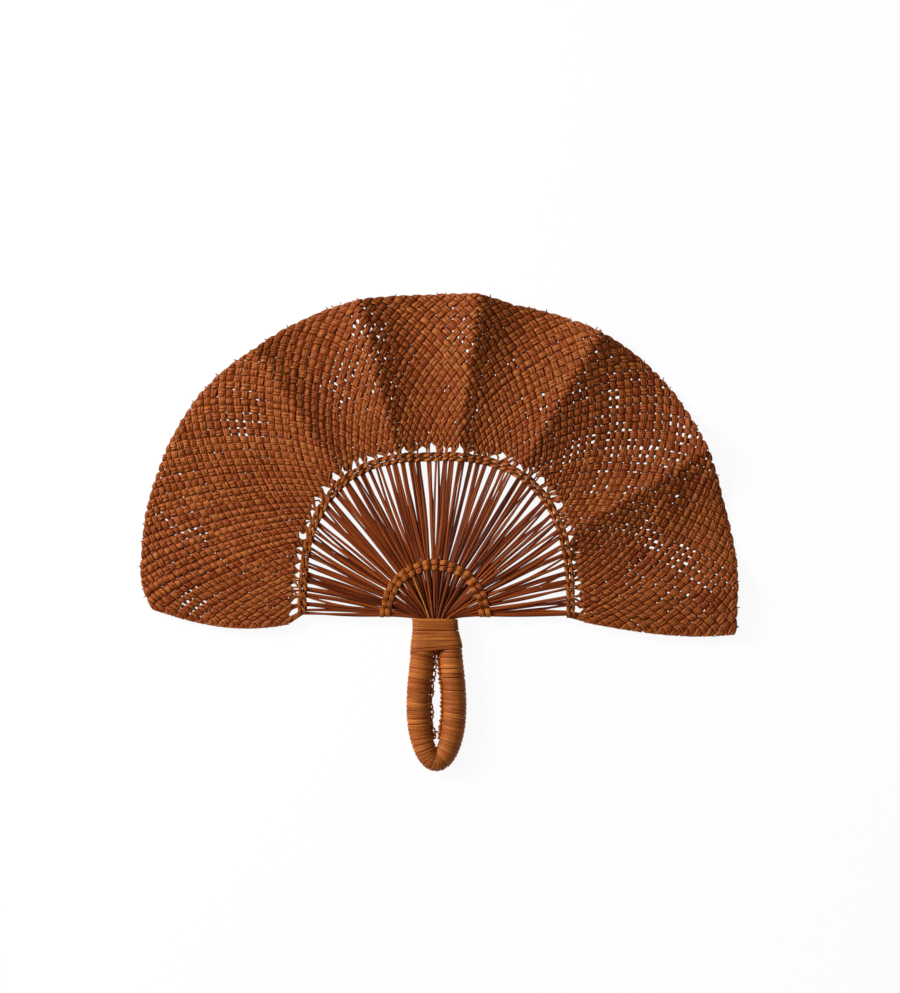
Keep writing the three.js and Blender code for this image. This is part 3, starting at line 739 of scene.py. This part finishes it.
# %% One strand of the plait
STRAND_STEPS = 140
STRAND_RISE = 0.00105
STRAND_HALF_THICKNESS = 0.00105
SHORTEST_STRAND = 0.8
WANDER = 0.07
WANDER_ROWS = 2.0
PEAKED = 0.8
PEAK_EDGE = 1.001
FLATNESS = 0.65
LOBE_CHOICES = (1, 2, 2, 2, 3, 3, 3)
STRAND_TONE = (0.5, 0.12)
OVER_UNDER_PAINTED_LIGHT = 0.12
TAIL_FILL = 0.3
TAIL_HALF_THICKNESS = 0.0006
GATHER_SHARE = 0.46
GATHER_STARTS = (-0.6, 0.8)
STRAY_CHANCE = 0.2
STRAY_STRAWS = 2
CURL_ROWS = 0.75
CURL_NARROWING = 0.08
CURL_THINNING = 0.35
RIM_CURL = 0.5
RIM_BEAD = 0.6
RIM_CHANCE = 0.07
EDGE_CURL = 0.3


def row_limits(line, lean):
    """First and last row of a line that leans right (1) or left (-1). A lower edge may cut it short."""
    if lean > 0:
        return np.maximum(0, -2 * line - 1), np.minimum(ROWS, 2 * (STRANDS - line) - 1)
    return np.maximum(0, 2 * (line - STRANDS) + 1), np.minimum(ROWS, 2 * line + 1)


def tail(line, lean, row):
    """Column of the rib straw that a strand's tail runs to, and how far the strand is gathered to it."""
    # One that leans right starts a quarter of the way across its column, one that leans left three quarters.
    straw = (4 * line + (1 if lean > 0 else 3)) * len(straw_columns) // (4 * STRANDS)
    straw = straw + int(chance.integers(-STRAY_STRAWS, STRAY_STRAWS + 1))
    straw = straw_columns[np.clip(straw, 0, len(straw_columns) - 1)]
    reach_in = 2 * GATHER_SHARE if chance.random() < STRAY_CHANCE else GATHER_SHARE
    gather = np.clip((chance.uniform(*GATHER_STARTS) - row) / TAIL_ROWS / reach_in, 0, 1)
    return straw, gather**2 * (3 - 2 * gather)


def plaited_strand(line, lean):
    """One strand as a bent straw, or None where it would be too short to hold."""
    lobes = int(chance.choice(LOBE_CHOICES))
    across, crown = strip_section(lobes)
    first, last = row_limits(float(line), lean)
    if last - first < SHORTEST_STRAND:
        return None
    from_lace = first == 0
    lowest = -TAIL_ROWS if from_lace else first
    along = np.linspace(0, 1, STRAND_STEPS + 1)[:, None]
    middle_row = lowest + (last - lowest) * along
    offset = across * strand_fill(line, lean, middle_row) / 2
    lines = line + chance_wave(middle_row, WANDER, WANDER_ROWS) + offset
    start, end = row_limits(lines, lean)
    start = np.full_like(start, lowest) if from_lace else start
    row = start + (end - start) * along
    column = lines + 0.5 + lean * row / 2
    # Over and under, and at the lace gathered into a tail.
    swing = np.cos(np.pi * (row + lean * offset))
    lift = lean * STRAND_RISE * np.sign(swing) * np.abs(swing) ** FLATNESS
    half = np.full_like(row, STRAND_HALF_THICKNESS)
    if from_lace:
        straw, gather = tail(line, lean, row)
        column = column * (1 - gather) + (straw + offset * TAIL_FILL) * gather
        lift = lift * (1 - gather)
        half = half + (TAIL_HALF_THICKNESS - STRAND_HALF_THICKNESS) * gather
    # Curled back at the rim and at the lower edges.
    last_curl = np.clip(1 - (end - row) / CURL_ROWS, 0, 1)
    first_curl = np.zeros_like(row) if from_lace else np.clip(1 - (row - start) / CURL_ROWS, 0, 1)
    turn = np.maximum(last_curl, first_curl) * np.pi / 2
    curl = np.sin(turn)
    at_rim = (end >= ROWS) & (last_curl > 0)
    rim_curl = RIM_CURL + chance.normal(0, RIM_CHANCE)
    row = row + np.where(at_rim, rim_curl * curl * (1 - RIM_BEAD * across**2), 0)
    column = column - offset * CURL_NARROWING * curl
    column = column + np.where((last_curl > 0) & ~at_rim, lean * EDGE_CURL * curl, 0)
    column = column - np.where(first_curl > 0, lean * EDGE_CURL * curl, 0)
    # Thickness: peaked between knuckles and full on top of them.
    peak = (PEAK_EDGE - across**2) ** (PEAKED * np.abs(np.sin(np.pi * middle_row)))
    lift = lift * np.cos(turn) + crown * peak * half * (1 - CURL_THINNING * curl)
    middle_row = middle_row[:, 0]
    # Painted light and shade: a strand is coloured lighter where it rides over and darker where it dips
    # under.
    tone = chance.normal(*STRAND_TONE) + OVER_UNDER_PAINTED_LIGHT * lean * np.cos(np.pi * middle_row)
    points = blade_point(column, row, lift)
    return bent_straw(points, lobe_place(across, lobes), middle_row * ROW_LENGTH, np.clip(tone, 0, 1))


print("rows of the first line that leans left:", row_limits(0.0, -1))

# %% The four plies of the plait
edge_lines = ROWS // 2 + 1
for lean, lean_name, lines in (
    (1, "right", range(-edge_lines, STRANDS)),
    (-1, "left", range(0, STRANDS + edge_lines)),
):
    strands = [plaited_strand(line, lean) for line in lines]
    strands = [strand for strand in strands if strand is not None]
    for ply, ply_name in enumerate("ab"):
        straw_piece(f"blade_{lean_name}_strands_{ply_name}", strands[ply::2], blade_straw,
                    ["woven_blade"], shelves=2)

# %% [markdown]
# Along each lower edge a pair of straws runs from the outer twine into the plait. They close the corner
# between the last rib and the first knuckle, where the real fan has a smooth selvedge.

# %% Selvedge straws
EDGE_COLUMNS = (0.12, 0.42)
EDGE_ROWS = 5
EDGE_STEPS = 30
EDGE_HALF_WIDTH = 0.30
EDGE_TONE = 0.45
THINNEST_END = 0.01


def selvedge_straw(column):
    """A straw along a lower edge, near a column, that thins out where it dives into the plait."""
    across, crown = STRIP
    row = np.linspace(-TAIL_ROWS, EDGE_ROWS, EDGE_STEPS + 1)[:, None]
    ending = np.sqrt(np.clip((EDGE_ROWS - row) / EDGE_ROWS, THINNEST_END, 1))
    columns = column + across * EDGE_HALF_WIDTH * ending
    points = blade_point(columns, row + 0 * across, crown * STRAND_HALF_THICKNESS * ending)
    return bent_straw(points, across, row[:, 0] * ROW_LENGTH, EDGE_TONE)


edge_straws = [selvedge_straw(column) for column in EDGE_COLUMNS]
edge_straws = edge_straws + [selvedge_straw(STRANDS - column) for column in EDGE_COLUMNS]
straw_piece("blade_selvedge", edge_straws, blade_straw, ["woven_blade"])

# %% [markdown]
# ## Ribs
# Four straws side by side make one rib, and three ribs are pressed into a bundle at the inner twine, so
# nineteen bundles stand in the collar. There the straws lie on each other, and they bend sharply over the
# collar's edge. From the edge they run straight to the tie and on to the plait. The tie pinches each bundle,
# which opens gaps between bundles. Small chance shifts keep the gaps between ribs uneven, as in handwork.
# One straw in the seventh bundle has an ochre foot, and it is a piece of its own.

# %% Rib straws, bundle by bundle
BUNDLES = 19
STRAWS_PER_BUNDLE = SPOKES // BUNDLES * STRAWS_PER_SPOKE
BUNDLE_FILL = 0.76
AIM_CHANCE = 0.04
RIB_FOOT = -0.0067
FOOT_PITCH = 0.00108
FOOT_CHANCE = 0.0004
FOOT_HALF_DEPTH = 0.0045
RIB_BEND_HEIGHT = -0.0018
BEND_LEAN = 0.15
TIE_RADIUS = 0.0330
TIE_SPREAD = 1.03
TIE_SHIFT = np.array([-0.0010, 0.0, 0.0])
TIE_LAYER = 0.0011
RIB_END_ROW = -2.08
RIB_BOW = 0.0011
RIB_DRIFT = 0.05
DRIFT_FREEDOM = 2
MOST_DRIFT = 0.5
STEM_STEPS = 12
RUN_STEPS = 18
RIB_HALF_WIDTH = 0.00066
RIB_WIDTH_CHANCES = (0.85, 1.2)
RIB_STAGES = (0, STEM_STEPS, STEM_STEPS + 2, STEM_STEPS + RUN_STEPS // 3, STEM_STEPS + RUN_STEPS)
RIB_WIDTHS = (0.85, 0.95, 1.25, 1.35, 1.0)
RIB_TONE = (0.45, 0.25)
OCHRE_STRAW = 76
OCHRE_LAYER = 1.2
OCHRE_TONES = (1, 0.8, 0.1)


def rib_route(number):
    """Centre line of one rib straw, from its foot in the collar to just past the outer twine."""
    bundle, place = divmod(number, STRAWS_PER_BUNDLE)
    beside = (place - (STRAWS_PER_BUNDLE - 1) / 2) / STRAWS_PER_BUNDLE
    aim = bundle + 0.5 - BUNDLES / 2 + beside * BUNDLE_FILL + chance.normal(0, AIM_CHANCE)
    turned = -aim / BUNDLES * 180 * TIE_SPREAD
    layer = OCHRE_LAYER if number == OCHRE_STRAW else chance.uniform(-1, 1)
    level = layer * TIE_LAYER
    tie = from_focus(90 + turned, TIE_RADIUS, MIDDLE_HEIGHT + level) + TIE_SHIFT
    foot_x = aim * FOOT_PITCH + chance.normal(0, FOOT_CHANCE)
    foot_level = MIDDLE_HEIGHT + layer * FOOT_HALF_DEPTH
    foot = FOCUS + TIE_SHIFT + (foot_x, RIB_FOOT, foot_level)
    corner = FOCUS + TIE_SHIFT + (foot_x, RIB_BEND_HEIGHT, foot_level)
    controls = (foot, corner, corner + (tie - corner) * BEND_LEAN, tie)
    stem = bezier(controls, np.linspace(0, 1, STEM_STEPS + 1)[:, None])
    drift = np.clip(RIB_DRIFT * chance.standard_t(DRIFT_FREEDOM), -MOST_DRIFT, MOST_DRIFT)
    end = blade_point(straw_columns[[number]] + drift, np.array([RIB_END_ROW]), np.zeros(1))[0]
    share = np.linspace(0, 1, RUN_STEPS + 1)[1:, None]
    sideways = unit(np.cross(end - tie, UP))
    run = tie + (end - tie) * share + sideways * np.sin(np.pi * share) * chance.normal(0, RIB_BOW)
    centre = np.concatenate([stem, run])
    away = centre[STEM_STEPS:] - FOCUS
    height = surface_height(bearing(away), np.hypot(away[:, 0], away[:, 1]))
    centre[STEM_STEPS:, 2] = height + level * np.linspace(1, 0, RUN_STEPS + 1)
    return centre


def rib_straw_mesh(number):
    """One rib straw, slim at its foot and broadest a third of the way from the tie to the plait."""
    centre = rib_route(number)
    rings = np.arange(len(centre))
    half_width = RIB_HALF_WIDTH * chance.uniform(*RIB_WIDTH_CHANCES)
    half_width = half_width * np.interp(rings, RIB_STAGES, RIB_WIDTHS)[:, None]
    tone = np.clip(chance.normal(*RIB_TONE), 0, 1)
    if number == OCHRE_STRAW:
        tone = np.interp(rings, RIB_STAGES[:3], OCHRE_TONES)
    return round_straw(centre, half_width, np.minimum(half_width, RIB_HALF_WIDTH), tone)


for bundle in range(BUNDLES):
    numbers = range(bundle * STRAWS_PER_BUNDLE, (bundle + 1) * STRAWS_PER_BUNDLE)
    straws = [rib_straw_mesh(number) for number in numbers if number != OCHRE_STRAW]
    straw_piece(f"rib_straws_{bundle + 1:02d}", straws, rib_straw,
                [f"rib_bundle_{bundle + 1:02d}"])
straw_piece("rib_ochre_straw", [rib_straw_mesh(OCHRE_STRAW)], pale_straw, [])

# %% [markdown]
# ## Twined rows
# Two strands are twined round the ribs: one passes in front of a rib while its partner passes behind, and
# between ribs they swap. That is a two-ply rope with the ribs run through it, so each strand is a helix
# whose half turn is one rib. The outer rows tie single ribs, and the inner rows tie whole bundles with a
# broader strip.

# %% Inner and outer twine
TWINE_STEPS = 10
TWINE_END = 0.45
TWINE_CHANCE = 0.0003
TWINE_TONE = 0.55
TWINE_TONE_CHANCE = 0.2


def twined_strand(twine, row, first):
    """A strand of the lower (0) or upper (1) row that starts in front of its first rib (0) or behind (1)."""
    stops = np.arange(len(twine.angles))
    walk = np.linspace(-TWINE_END, stops[-1] + TWINE_END, len(stops) * TWINE_STEPS + 1)
    slope = np.gradient(twine.angles)
    angle = np.interp(walk, stops, twine.angles)
    angle = angle + np.where(walk < 0, walk * slope[0], 0)
    angle = angle + np.where(walk > stops[-1], (walk - stops[-1]) * slope[-1], 0)
    turn = np.pi * (walk + first)
    base = twine.radius(angle) + (row - 0.5) * twine.spacing + twine.swing * np.sin(turn)
    base = base + np.interp(walk, stops, chance.normal(0, TWINE_CHANCE, len(stops)))
    centre = from_focus(angle, base, surface_height(angle, base) + twine.rise * np.cos(turn))
    forward = unit(np.gradient(centre, axis=0))
    outward = from_focus(angle, 1.0, np.zeros_like(angle)) - FOCUS
    outward = unit(outward - forward * np.sum(outward * forward, axis=1, keepdims=True))
    across_way = outward * twine.half_width
    rise_way = np.cross(outward, forward) * twine.half_thickness
    tone = TWINE_TONE + np.interp(walk, stops, chance.normal(0, TWINE_TONE_CHANCE, len(stops)))
    tone = np.clip(tone, 0, 1)
    return swept_straw(STRIP, centre + twine.shift, across_way, rise_way, travelled(centre), tone)


spoke_tops = blade_point(spoke_columns, np.full(SPOKES, RIB_END_ROW), np.zeros(SPOKES)) - FOCUS
INNER_TWINE = SimpleNamespace(
    name="inner_twine", angles=90 + (0.5 - (np.arange(BUNDLES) + 0.5) / BUNDLES) * 180 * TIE_SPREAD,
    radius=lambda angle: np.full_like(angle, TIE_RADIUS), shift=TIE_SHIFT,
    spacing=0.0036, rise=0.0026, swing=0.0004, half_width=0.0017, half_thickness=0.0011,
)
OUTER_TWINE = SimpleNamespace(
    name="outer_twine", angles=bearing(spoke_tops), radius=twine_radius, shift=np.zeros(3),
    spacing=0.0030, rise=0.0019, swing=0.0007, half_width=0.00098, half_thickness=0.0008,
)
for row, row_name in enumerate(("lower", "upper")):
    for first, strand_name in enumerate("ab"):
        for twine in (INNER_TWINE, OUTER_TWINE):
            straw_piece(f"{twine.name}_straw_{row_name}_{strand_name}", [twined_strand(twine, row, first)],
                        twine_straw, [f"{twine.name}_{row_name}_{strand_name}"])

# %% [markdown]
# ## Handle
# The handle is a bundle of straw bent into a loop. A flat strip is wound round each leg and round the bend,
# and a thinner one binds the two legs and the feet of the ribs into the collar. The winding follows the
# loop's centre line: each turn reaches half way to its neighbours, so turns fan out by themselves on the
# outside of the bend and crowd on the inside.

# %% Centre line of the loop
CORE_TOP = -CORE_TOP_DROP
COLLAR_BOTTOM = -0.0220
BELLY_HEIGHT = -0.0613
LOOP_BOTTOM = -0.0972
TOP_OFFSET = 0.0071
COLLAR_OFFSET = 0.0090
BELLY_OFFSET = 0.0121
CURVE_EASE = 0.4
LINE_STEPS = 60
BEND_STEPS = 360

leg_slope = (BELLY_OFFSET - COLLAR_OFFSET) / (COLLAR_BOTTOM - BELLY_HEIGHT)
collar_ease = (CORE_TOP - COLLAR_BOTTOM) * CURVE_EASE
belly_ease = (COLLAR_BOTTOM - BELLY_HEIGHT) * CURVE_EASE
leg_curves = np.array((
    ((TOP_OFFSET, CORE_TOP), (TOP_OFFSET, CORE_TOP - collar_ease),
     (COLLAR_OFFSET - leg_slope * collar_ease, COLLAR_BOTTOM + collar_ease), (COLLAR_OFFSET, COLLAR_BOTTOM)),
    ((COLLAR_OFFSET, COLLAR_BOTTOM), (COLLAR_OFFSET + leg_slope * belly_ease, COLLAR_BOTTOM - belly_ease),
     (BELLY_OFFSET, BELLY_HEIGHT + belly_ease), (BELLY_OFFSET, BELLY_HEIGHT)),
))
line_share = np.linspace(0, 1, LINE_STEPS)[:-1, None]
leg = np.concatenate([bezier(curve, line_share) for curve in leg_curves])
bend_turn = np.linspace(0, np.pi, BEND_STEPS)
bend_drop = (BELLY_HEIGHT - LOOP_BOTTOM) * np.sin(bend_turn)
bend = np.stack([BELLY_OFFSET * np.cos(bend_turn), BELLY_HEIGHT - bend_drop], axis=1)
loop = np.concatenate([leg, bend, leg[::-1] * (-1, 1)])
loop = np.column_stack([loop, np.full(len(loop), MIDDLE_HEIGHT)]) + FOCUS
loop_distance = travelled(loop)
loop_heading = unit(np.gradient(loop, axis=0))
full_length = float(loop_distance[-1])
right_half = slice(0, len(loop) // 2)


def loop_mark(height):
    """Distance along the loop at which its right half passes a height, and its offset there."""
    fall = FOCUS[1] - loop[right_half, 1]
    distance = float(np.interp(-height, fall, loop_distance[right_half]))
    return distance, float(np.interp(-height, fall, loop[right_half, 0])) - FOCUS[0]


def loop_frame(distance):
    """Centre of the loop and the way in towards the slit, at distances along it."""
    centre, heading = (
        np.stack([np.interp(distance, loop_distance, values) for values in line.T], axis=-1)
        for line in (loop, loop_heading)
    )
    return centre, np.cross(unit(heading), UP)


print("loop length:", round(full_length, 3), "m")

# %% Winding a strip
GRIP_HALF_WIDTH = 0.0081
GRIP_HALF_DEPTH = 0.0077
BEND_HALF_WIDTH = 0.0073
BEND_REACH = 0.026
WRAP_TOP = -0.0195
WRAP_TURNOVER = -0.0830
WRAP_HALF_THICKNESS = 0.0007
WRAP_STEPS = 20
LEG_PITCHES = (0.0033, 0.0030, 0.0027)
BEND_PITCHES = (0.0027, 0.0015, 0.0027)
PITCH_STEPS = 200
PITCH_CHANCE = 0.1
WRAP_OVERLAP = 1.1
WRAP_SHINGLE = 0.15
WRAP_WANDER = 0.00015
TURN_TONE = (0.5, 0.07)


def grip_half_width(distance):
    """Half the width of the wrapped leg, which is a little slimmer at the foot of the loop."""
    return np.interp(np.abs(distance - full_length / 2), (0, BEND_REACH), (BEND_HALF_WIDTH, GRIP_HALF_WIDTH))


def grip_place(distance, turn):
    """A point on the wrapped leg and its way out. At the foot of the slit turns meet in a crease."""
    centre, inward = loop_frame(distance)
    reach = grip_half_width(distance)[:, None] - WRAP_HALF_THICKNESS
    depth = GRIP_HALF_DEPTH - WRAP_HALF_THICKNESS
    side = inward * np.cos(turn)[:, None]
    rise = UP * np.sin(turn)[:, None]
    point = centre + side * reach + rise * depth
    crossed = (point[:, 0] - FOCUS[0]) * (centre[:, 0] - FOCUS[0]) < 0
    point[crossed, 0] = FOCUS[0]
    return point, unit(side / reach + rise / depth)


def turn_starts(start, end, pitches):
    """Distances at which the turns of a winding start, for pitches at its start, middle and end."""
    distance = np.linspace(start, end, PITCH_STEPS)
    pitch = np.interp(distance, (start, (start + end) / 2, end), pitches)
    turned = np.concatenate([[0], np.cumsum(np.diff(distance) * 2 / (pitch[1:] + pitch[:-1]))])
    turns = round(turned[-1])
    starts = np.interp(np.linspace(0, turned[-1], turns + 1), turned, distance)
    starts[1:-1] = starts[1:-1] + chance.normal(0, PITCH_CHANCE, turns - 1) * np.diff(starts)[1:]
    return starts


def winding(place, starts, steps):
    """A strip wound turn beside turn, slightly shingled, from the distances at which its turns start."""
    turns = len(starts) - 1
    # The steps are rounded up to a whole ten, as the blank needs.
    turn = np.linspace(0, 2 * np.pi * turns, 10 * -(-turns * steps // 10) + 1)
    numbers = np.arange(turns + 1) * 2 * np.pi
    middle = np.interp(turn, numbers, starts)
    half_pitch = np.interp(turn, numbers, np.gradient(starts)) / 2
    knots = np.arange(2 * turns + 1) * np.pi
    middle = middle + np.interp(turn, knots, chance.normal(0, WRAP_WANDER, len(knots)))
    tones = np.clip(chance.normal(*TURN_TONE, turns + 1), 0, 1)
    tone = tones[((turn + np.pi / 2) / (2 * np.pi)).astype(int)]
    centre, outward = place(middle, turn)
    before, _ = place(middle - half_pitch, turn)
    after, _ = place(middle + half_pitch, turn)
    across = (after - before) / 2 * WRAP_OVERLAP
    across = across + outward * np.linalg.norm(across, axis=1, keepdims=True) * WRAP_SHINGLE
    return swept_straw(STRIP, centre, across, outward * WRAP_HALF_THICKNESS, travelled(centre), tone)


wrap_start, _ = loop_mark(WRAP_TOP)
wrap_turnover, _ = loop_mark(WRAP_TURNOVER)
for name, start, end, pitches in (
    ("right_grip", wrap_start, wrap_turnover, LEG_PITCHES),
    ("bend", wrap_turnover, full_length - wrap_turnover, BEND_PITCHES),
    ("left_grip", full_length - wrap_turnover, full_length - wrap_start, LEG_PITCHES[::-1]),
):
    strip = winding(grip_place, turn_starts(start, end, pitches), WRAP_STEPS)
    straw_piece(f"{name}_strip", [strip], wrap_straw, [f"{name}_wrap"])

# %% Collar
COLLAR_TOP = -0.0022
COLLAR_END = -0.0236
COLLAR_TILT = 0.11
COLLAR_PITCHES = (0.0019, 0.0021, 0.0020)
COLLAR_STEPS = 30
COLLAR_FLARE = 0.0005
COLLAR_SQUARENESS = 4


def collar_place(drop, turn):
    """A point on the collar and its way out. The collar is a rounded box that widens with the two legs."""
    core_x = np.interp(drop, -leg[:, 1], leg[:, 0])
    lowness = (drop + COLLAR_TOP) / (COLLAR_TOP - COLLAR_END)
    flare = COLLAR_FLARE * (1 + lowness) / 2
    width = core_x + GRIP_HALF_WIDTH - WRAP_HALF_THICKNESS + flare
    depth = GRIP_HALF_DEPTH - WRAP_HALF_THICKNESS + flare
    cosine, sine = -np.cos(turn), np.sin(turn)
    x = np.sign(cosine) * np.abs(cosine) ** (2 / COLLAR_SQUARENESS)
    z = np.sign(sine) * np.abs(sine) ** (2 / COLLAR_SQUARENESS)
    y = -drop + COLLAR_TILT * lowness**2 * x * width
    point = np.stack([x * width, y, MIDDLE_HEIGHT + z * depth], axis=-1) + FOCUS
    point = point + TIE_SHIFT * (1 - lowness)[:, None]
    steepness = COLLAR_SQUARENESS - 1
    outward = np.stack([x**steepness / width, np.zeros_like(x), z**steepness / depth], axis=-1)
    return point, unit(outward)


collar_starts = turn_starts(-COLLAR_TOP + COLLAR_PITCHES[0] / 2, -COLLAR_END, COLLAR_PITCHES)
collar = winding(collar_place, collar_starts, COLLAR_STEPS)
straw_piece("collar_strip", [collar], wrap_straw, ["collar_wrap"])

# %% [markdown]
# ## The core under the wrapping
# Slivers of the core show between the turns and at the slit. It is a bundle of straws that run side by side
# round the whole loop: one in the middle and two rings round it.

# %% Straws of the core
CORE_RINGS = ((1, 0.0), (6, 0.0025), (12, 0.0049))
CORE_STRAW_HALF_WIDTH = 0.0013
CORE_STEPS = 120
CORE_TONE = (0.3, 0.15)


def core_straw(around, away):
    """One straw of the core, at a turn round its middle and a distance from it."""
    distance = np.linspace(0, full_length, CORE_STEPS + 1)
    centre, inward = loop_frame(distance)
    centre = centre + inward * away * np.cos(around) + UP * away * np.sin(around)
    upward = np.broadcast_to(UP * CORE_STRAW_HALF_WIDTH, centre.shape)
    tone = np.clip(chance.normal(*CORE_TONE), 0, 1)
    return swept_straw(ROUND, centre, inward * CORE_STRAW_HALF_WIDTH, upward, distance, tone)


core_straws = [
    core_straw(2 * np.pi * number / count, away)
    for count, away in CORE_RINGS for number in range(count)
]
straw_piece("core_straws", core_straws, rib_straw, ["handle_core"], shelves=2)

# %% [markdown]
# ## Hitch cords
# Each turn of the wrapping is half-hitched on the inside of the loop, which leaves a thin cord along each
# inner edge, with knots. The cord is painted darker at each knot, as shade in the crevice, and lighter
# between knots. On the left a second cord stands off from it in small arches, with daylight under them. One
# thread crosses the slit near its foot. All four are thin round straws.

# %% Cords along the slit
ARCHED_CORD = SimpleNamespace(arch=0.0022, dip=0.0020, arch_length=0.0037, half_width=0.00055)
THIN_CORD = SimpleNamespace(arch=0.0, dip=0.0, arch_length=0.0037, half_width=0.0005)
CLOSE_CORD = SimpleNamespace(arch=0.0004, dip=-0.0002, arch_length=0.0034, half_width=0.0009)
ARCH_OPENNESS = (-0.3, 1.6)
LEAST_OPENNESS = 0.3
HITCH_CHANCE = 0.2
CORD_STEPS = 300
CORD_HEIGHT = 0.0015
CORD_END = -0.0850
CORD_TONE = 0.45
KNOT_PAINTED_SHADE = 0.4
KNOT_SWELL = 0.6
THREAD_HEIGHT = -0.0780
THREAD_HALF_WIDTH = 0.0004
THREAD_STEPS = 20
THREAD_KNOT = 0.3
THREAD_TONE = 0.1


def edge_cord(start, end, cord):
    """A cord along the inside of the loop, drawn to the leg by a knot at each of its uneven hitches."""
    distance = np.linspace(start, end, CORD_STEPS + 1)
    hitches = np.linspace(0, 1, round(abs(end - start) / cord.arch_length) + 1)
    hitches[1:-1] = hitches[1:-1] + chance.normal(0, HITCH_CHANCE, len(hitches) - 2) * hitches[1]
    count = np.interp(np.linspace(0, 1, CORD_STEPS + 1), hitches, np.arange(len(hitches)))
    wave = np.cos(2 * np.pi * count)
    knot = np.maximum(wave, 0) ** 2
    openness = np.clip(chance.uniform(*ARCH_OPENNESS, len(hitches)), LEAST_OPENNESS, 1)
    openness[[0, -1]] = LEAST_OPENNESS
    openness = np.interp(count, np.arange(len(hitches)), openness)
    centre, inward = loop_frame(distance)
    away = grip_half_width(distance) + (cord.arch - cord.dip * knot) * openness
    centre = centre + inward * away[:, None] + UP * CORD_HEIGHT
    half_width = cord.half_width * (1 + KNOT_SWELL * knot)[:, None]
    # Painted shade and light: the cord's tone is darker at each knot and lighter on the stretch between
    # knots.
    return round_straw(centre, half_width, half_width, np.clip(CORD_TONE - KNOT_PAINTED_SHADE * wave, 0, 1))


def cross_thread():
    """The thread over the slit, from leg to leg, with a knot in the middle."""
    distance, offset = loop_mark(THREAD_HEIGHT)
    reach = offset - grip_half_width(distance)
    share = np.linspace(-1, 1, THREAD_STEPS + 1)[:, None]
    middle = FOCUS + (0, THREAD_HEIGHT, MIDDLE_HEIGHT + CORD_HEIGHT)
    half_width = THREAD_HALF_WIDTH * (1 + KNOT_SWELL * np.exp(-(share / THREAD_KNOT) ** 2))
    return round_straw(middle + share * (reach, 0, 0), half_width, half_width, THREAD_TONE)


cord_start, _ = loop_mark(COLLAR_BOTTOM)
cord_end, _ = loop_mark(CORD_END)
cords = [
    edge_cord(cord_start, cord_end, CLOSE_CORD),
    edge_cord(full_length - cord_end, full_length - cord_start, THIN_CORD),
    edge_cord(full_length - cord_end, full_length - cord_start, ARCHED_CORD),
    cross_thread(),
]
straw_piece("hitch_cords", cords, wrap_straw, [])

# %% [markdown]
# ## Loose ends
# Strands that fold back at the rim are cut short and tucked in. Here and there a cut end has worked loose,
# and a thin pale fibre sticks out of the rim at a slant.

# %% Loose fibres at the rim
LOOSE_FIBRES = 60
FIBRE_STEPS = 20
FIBRE_ROOT = -0.5
FIBRE_LENGTHS = (0.0014, 0.0029)
FIBRE_HALF_WIDTHS = (0.0003, 0.0006)
FIBRE_SLANT = 0.7
FIBRE_CURL = 0.0012
FIBRE_TIP = 0.6
FIBRE_TONES = (0.5, 1.0)


def loose_fibre():
    """A fibre that is rooted in the rim, leaves it at a slant, curls up or down and tapers to its tip."""
    root = blade_point(chance.uniform(0, STRANDS, 1), np.array([float(ROWS)]), np.zeros(1))[0]
    outward = unit((root - FOCUS) * (1, 1, 0))
    way = unit(outward + np.cross(outward, UP) * chance.normal(0, FIBRE_SLANT))
    share = np.linspace(FIBRE_ROOT, 1, FIBRE_STEPS + 1)[:, None]
    centre = root + way * chance.uniform(*FIBRE_LENGTHS) * share
    centre = centre + UP * chance.uniform(-FIBRE_CURL, FIBRE_CURL) * share**2
    half_width = chance.uniform(*FIBRE_HALF_WIDTHS) * np.interp(share, (0, 1), (1, FIBRE_TIP))
    return round_straw(centre, half_width, half_width, chance.uniform(*FIBRE_TONES))


loose_fibres = [loose_fibre() for _ in range(LOOSE_FIBRES)]
straw_piece("rim_fibres", loose_fibres, blade_straw, [], shelves=2)
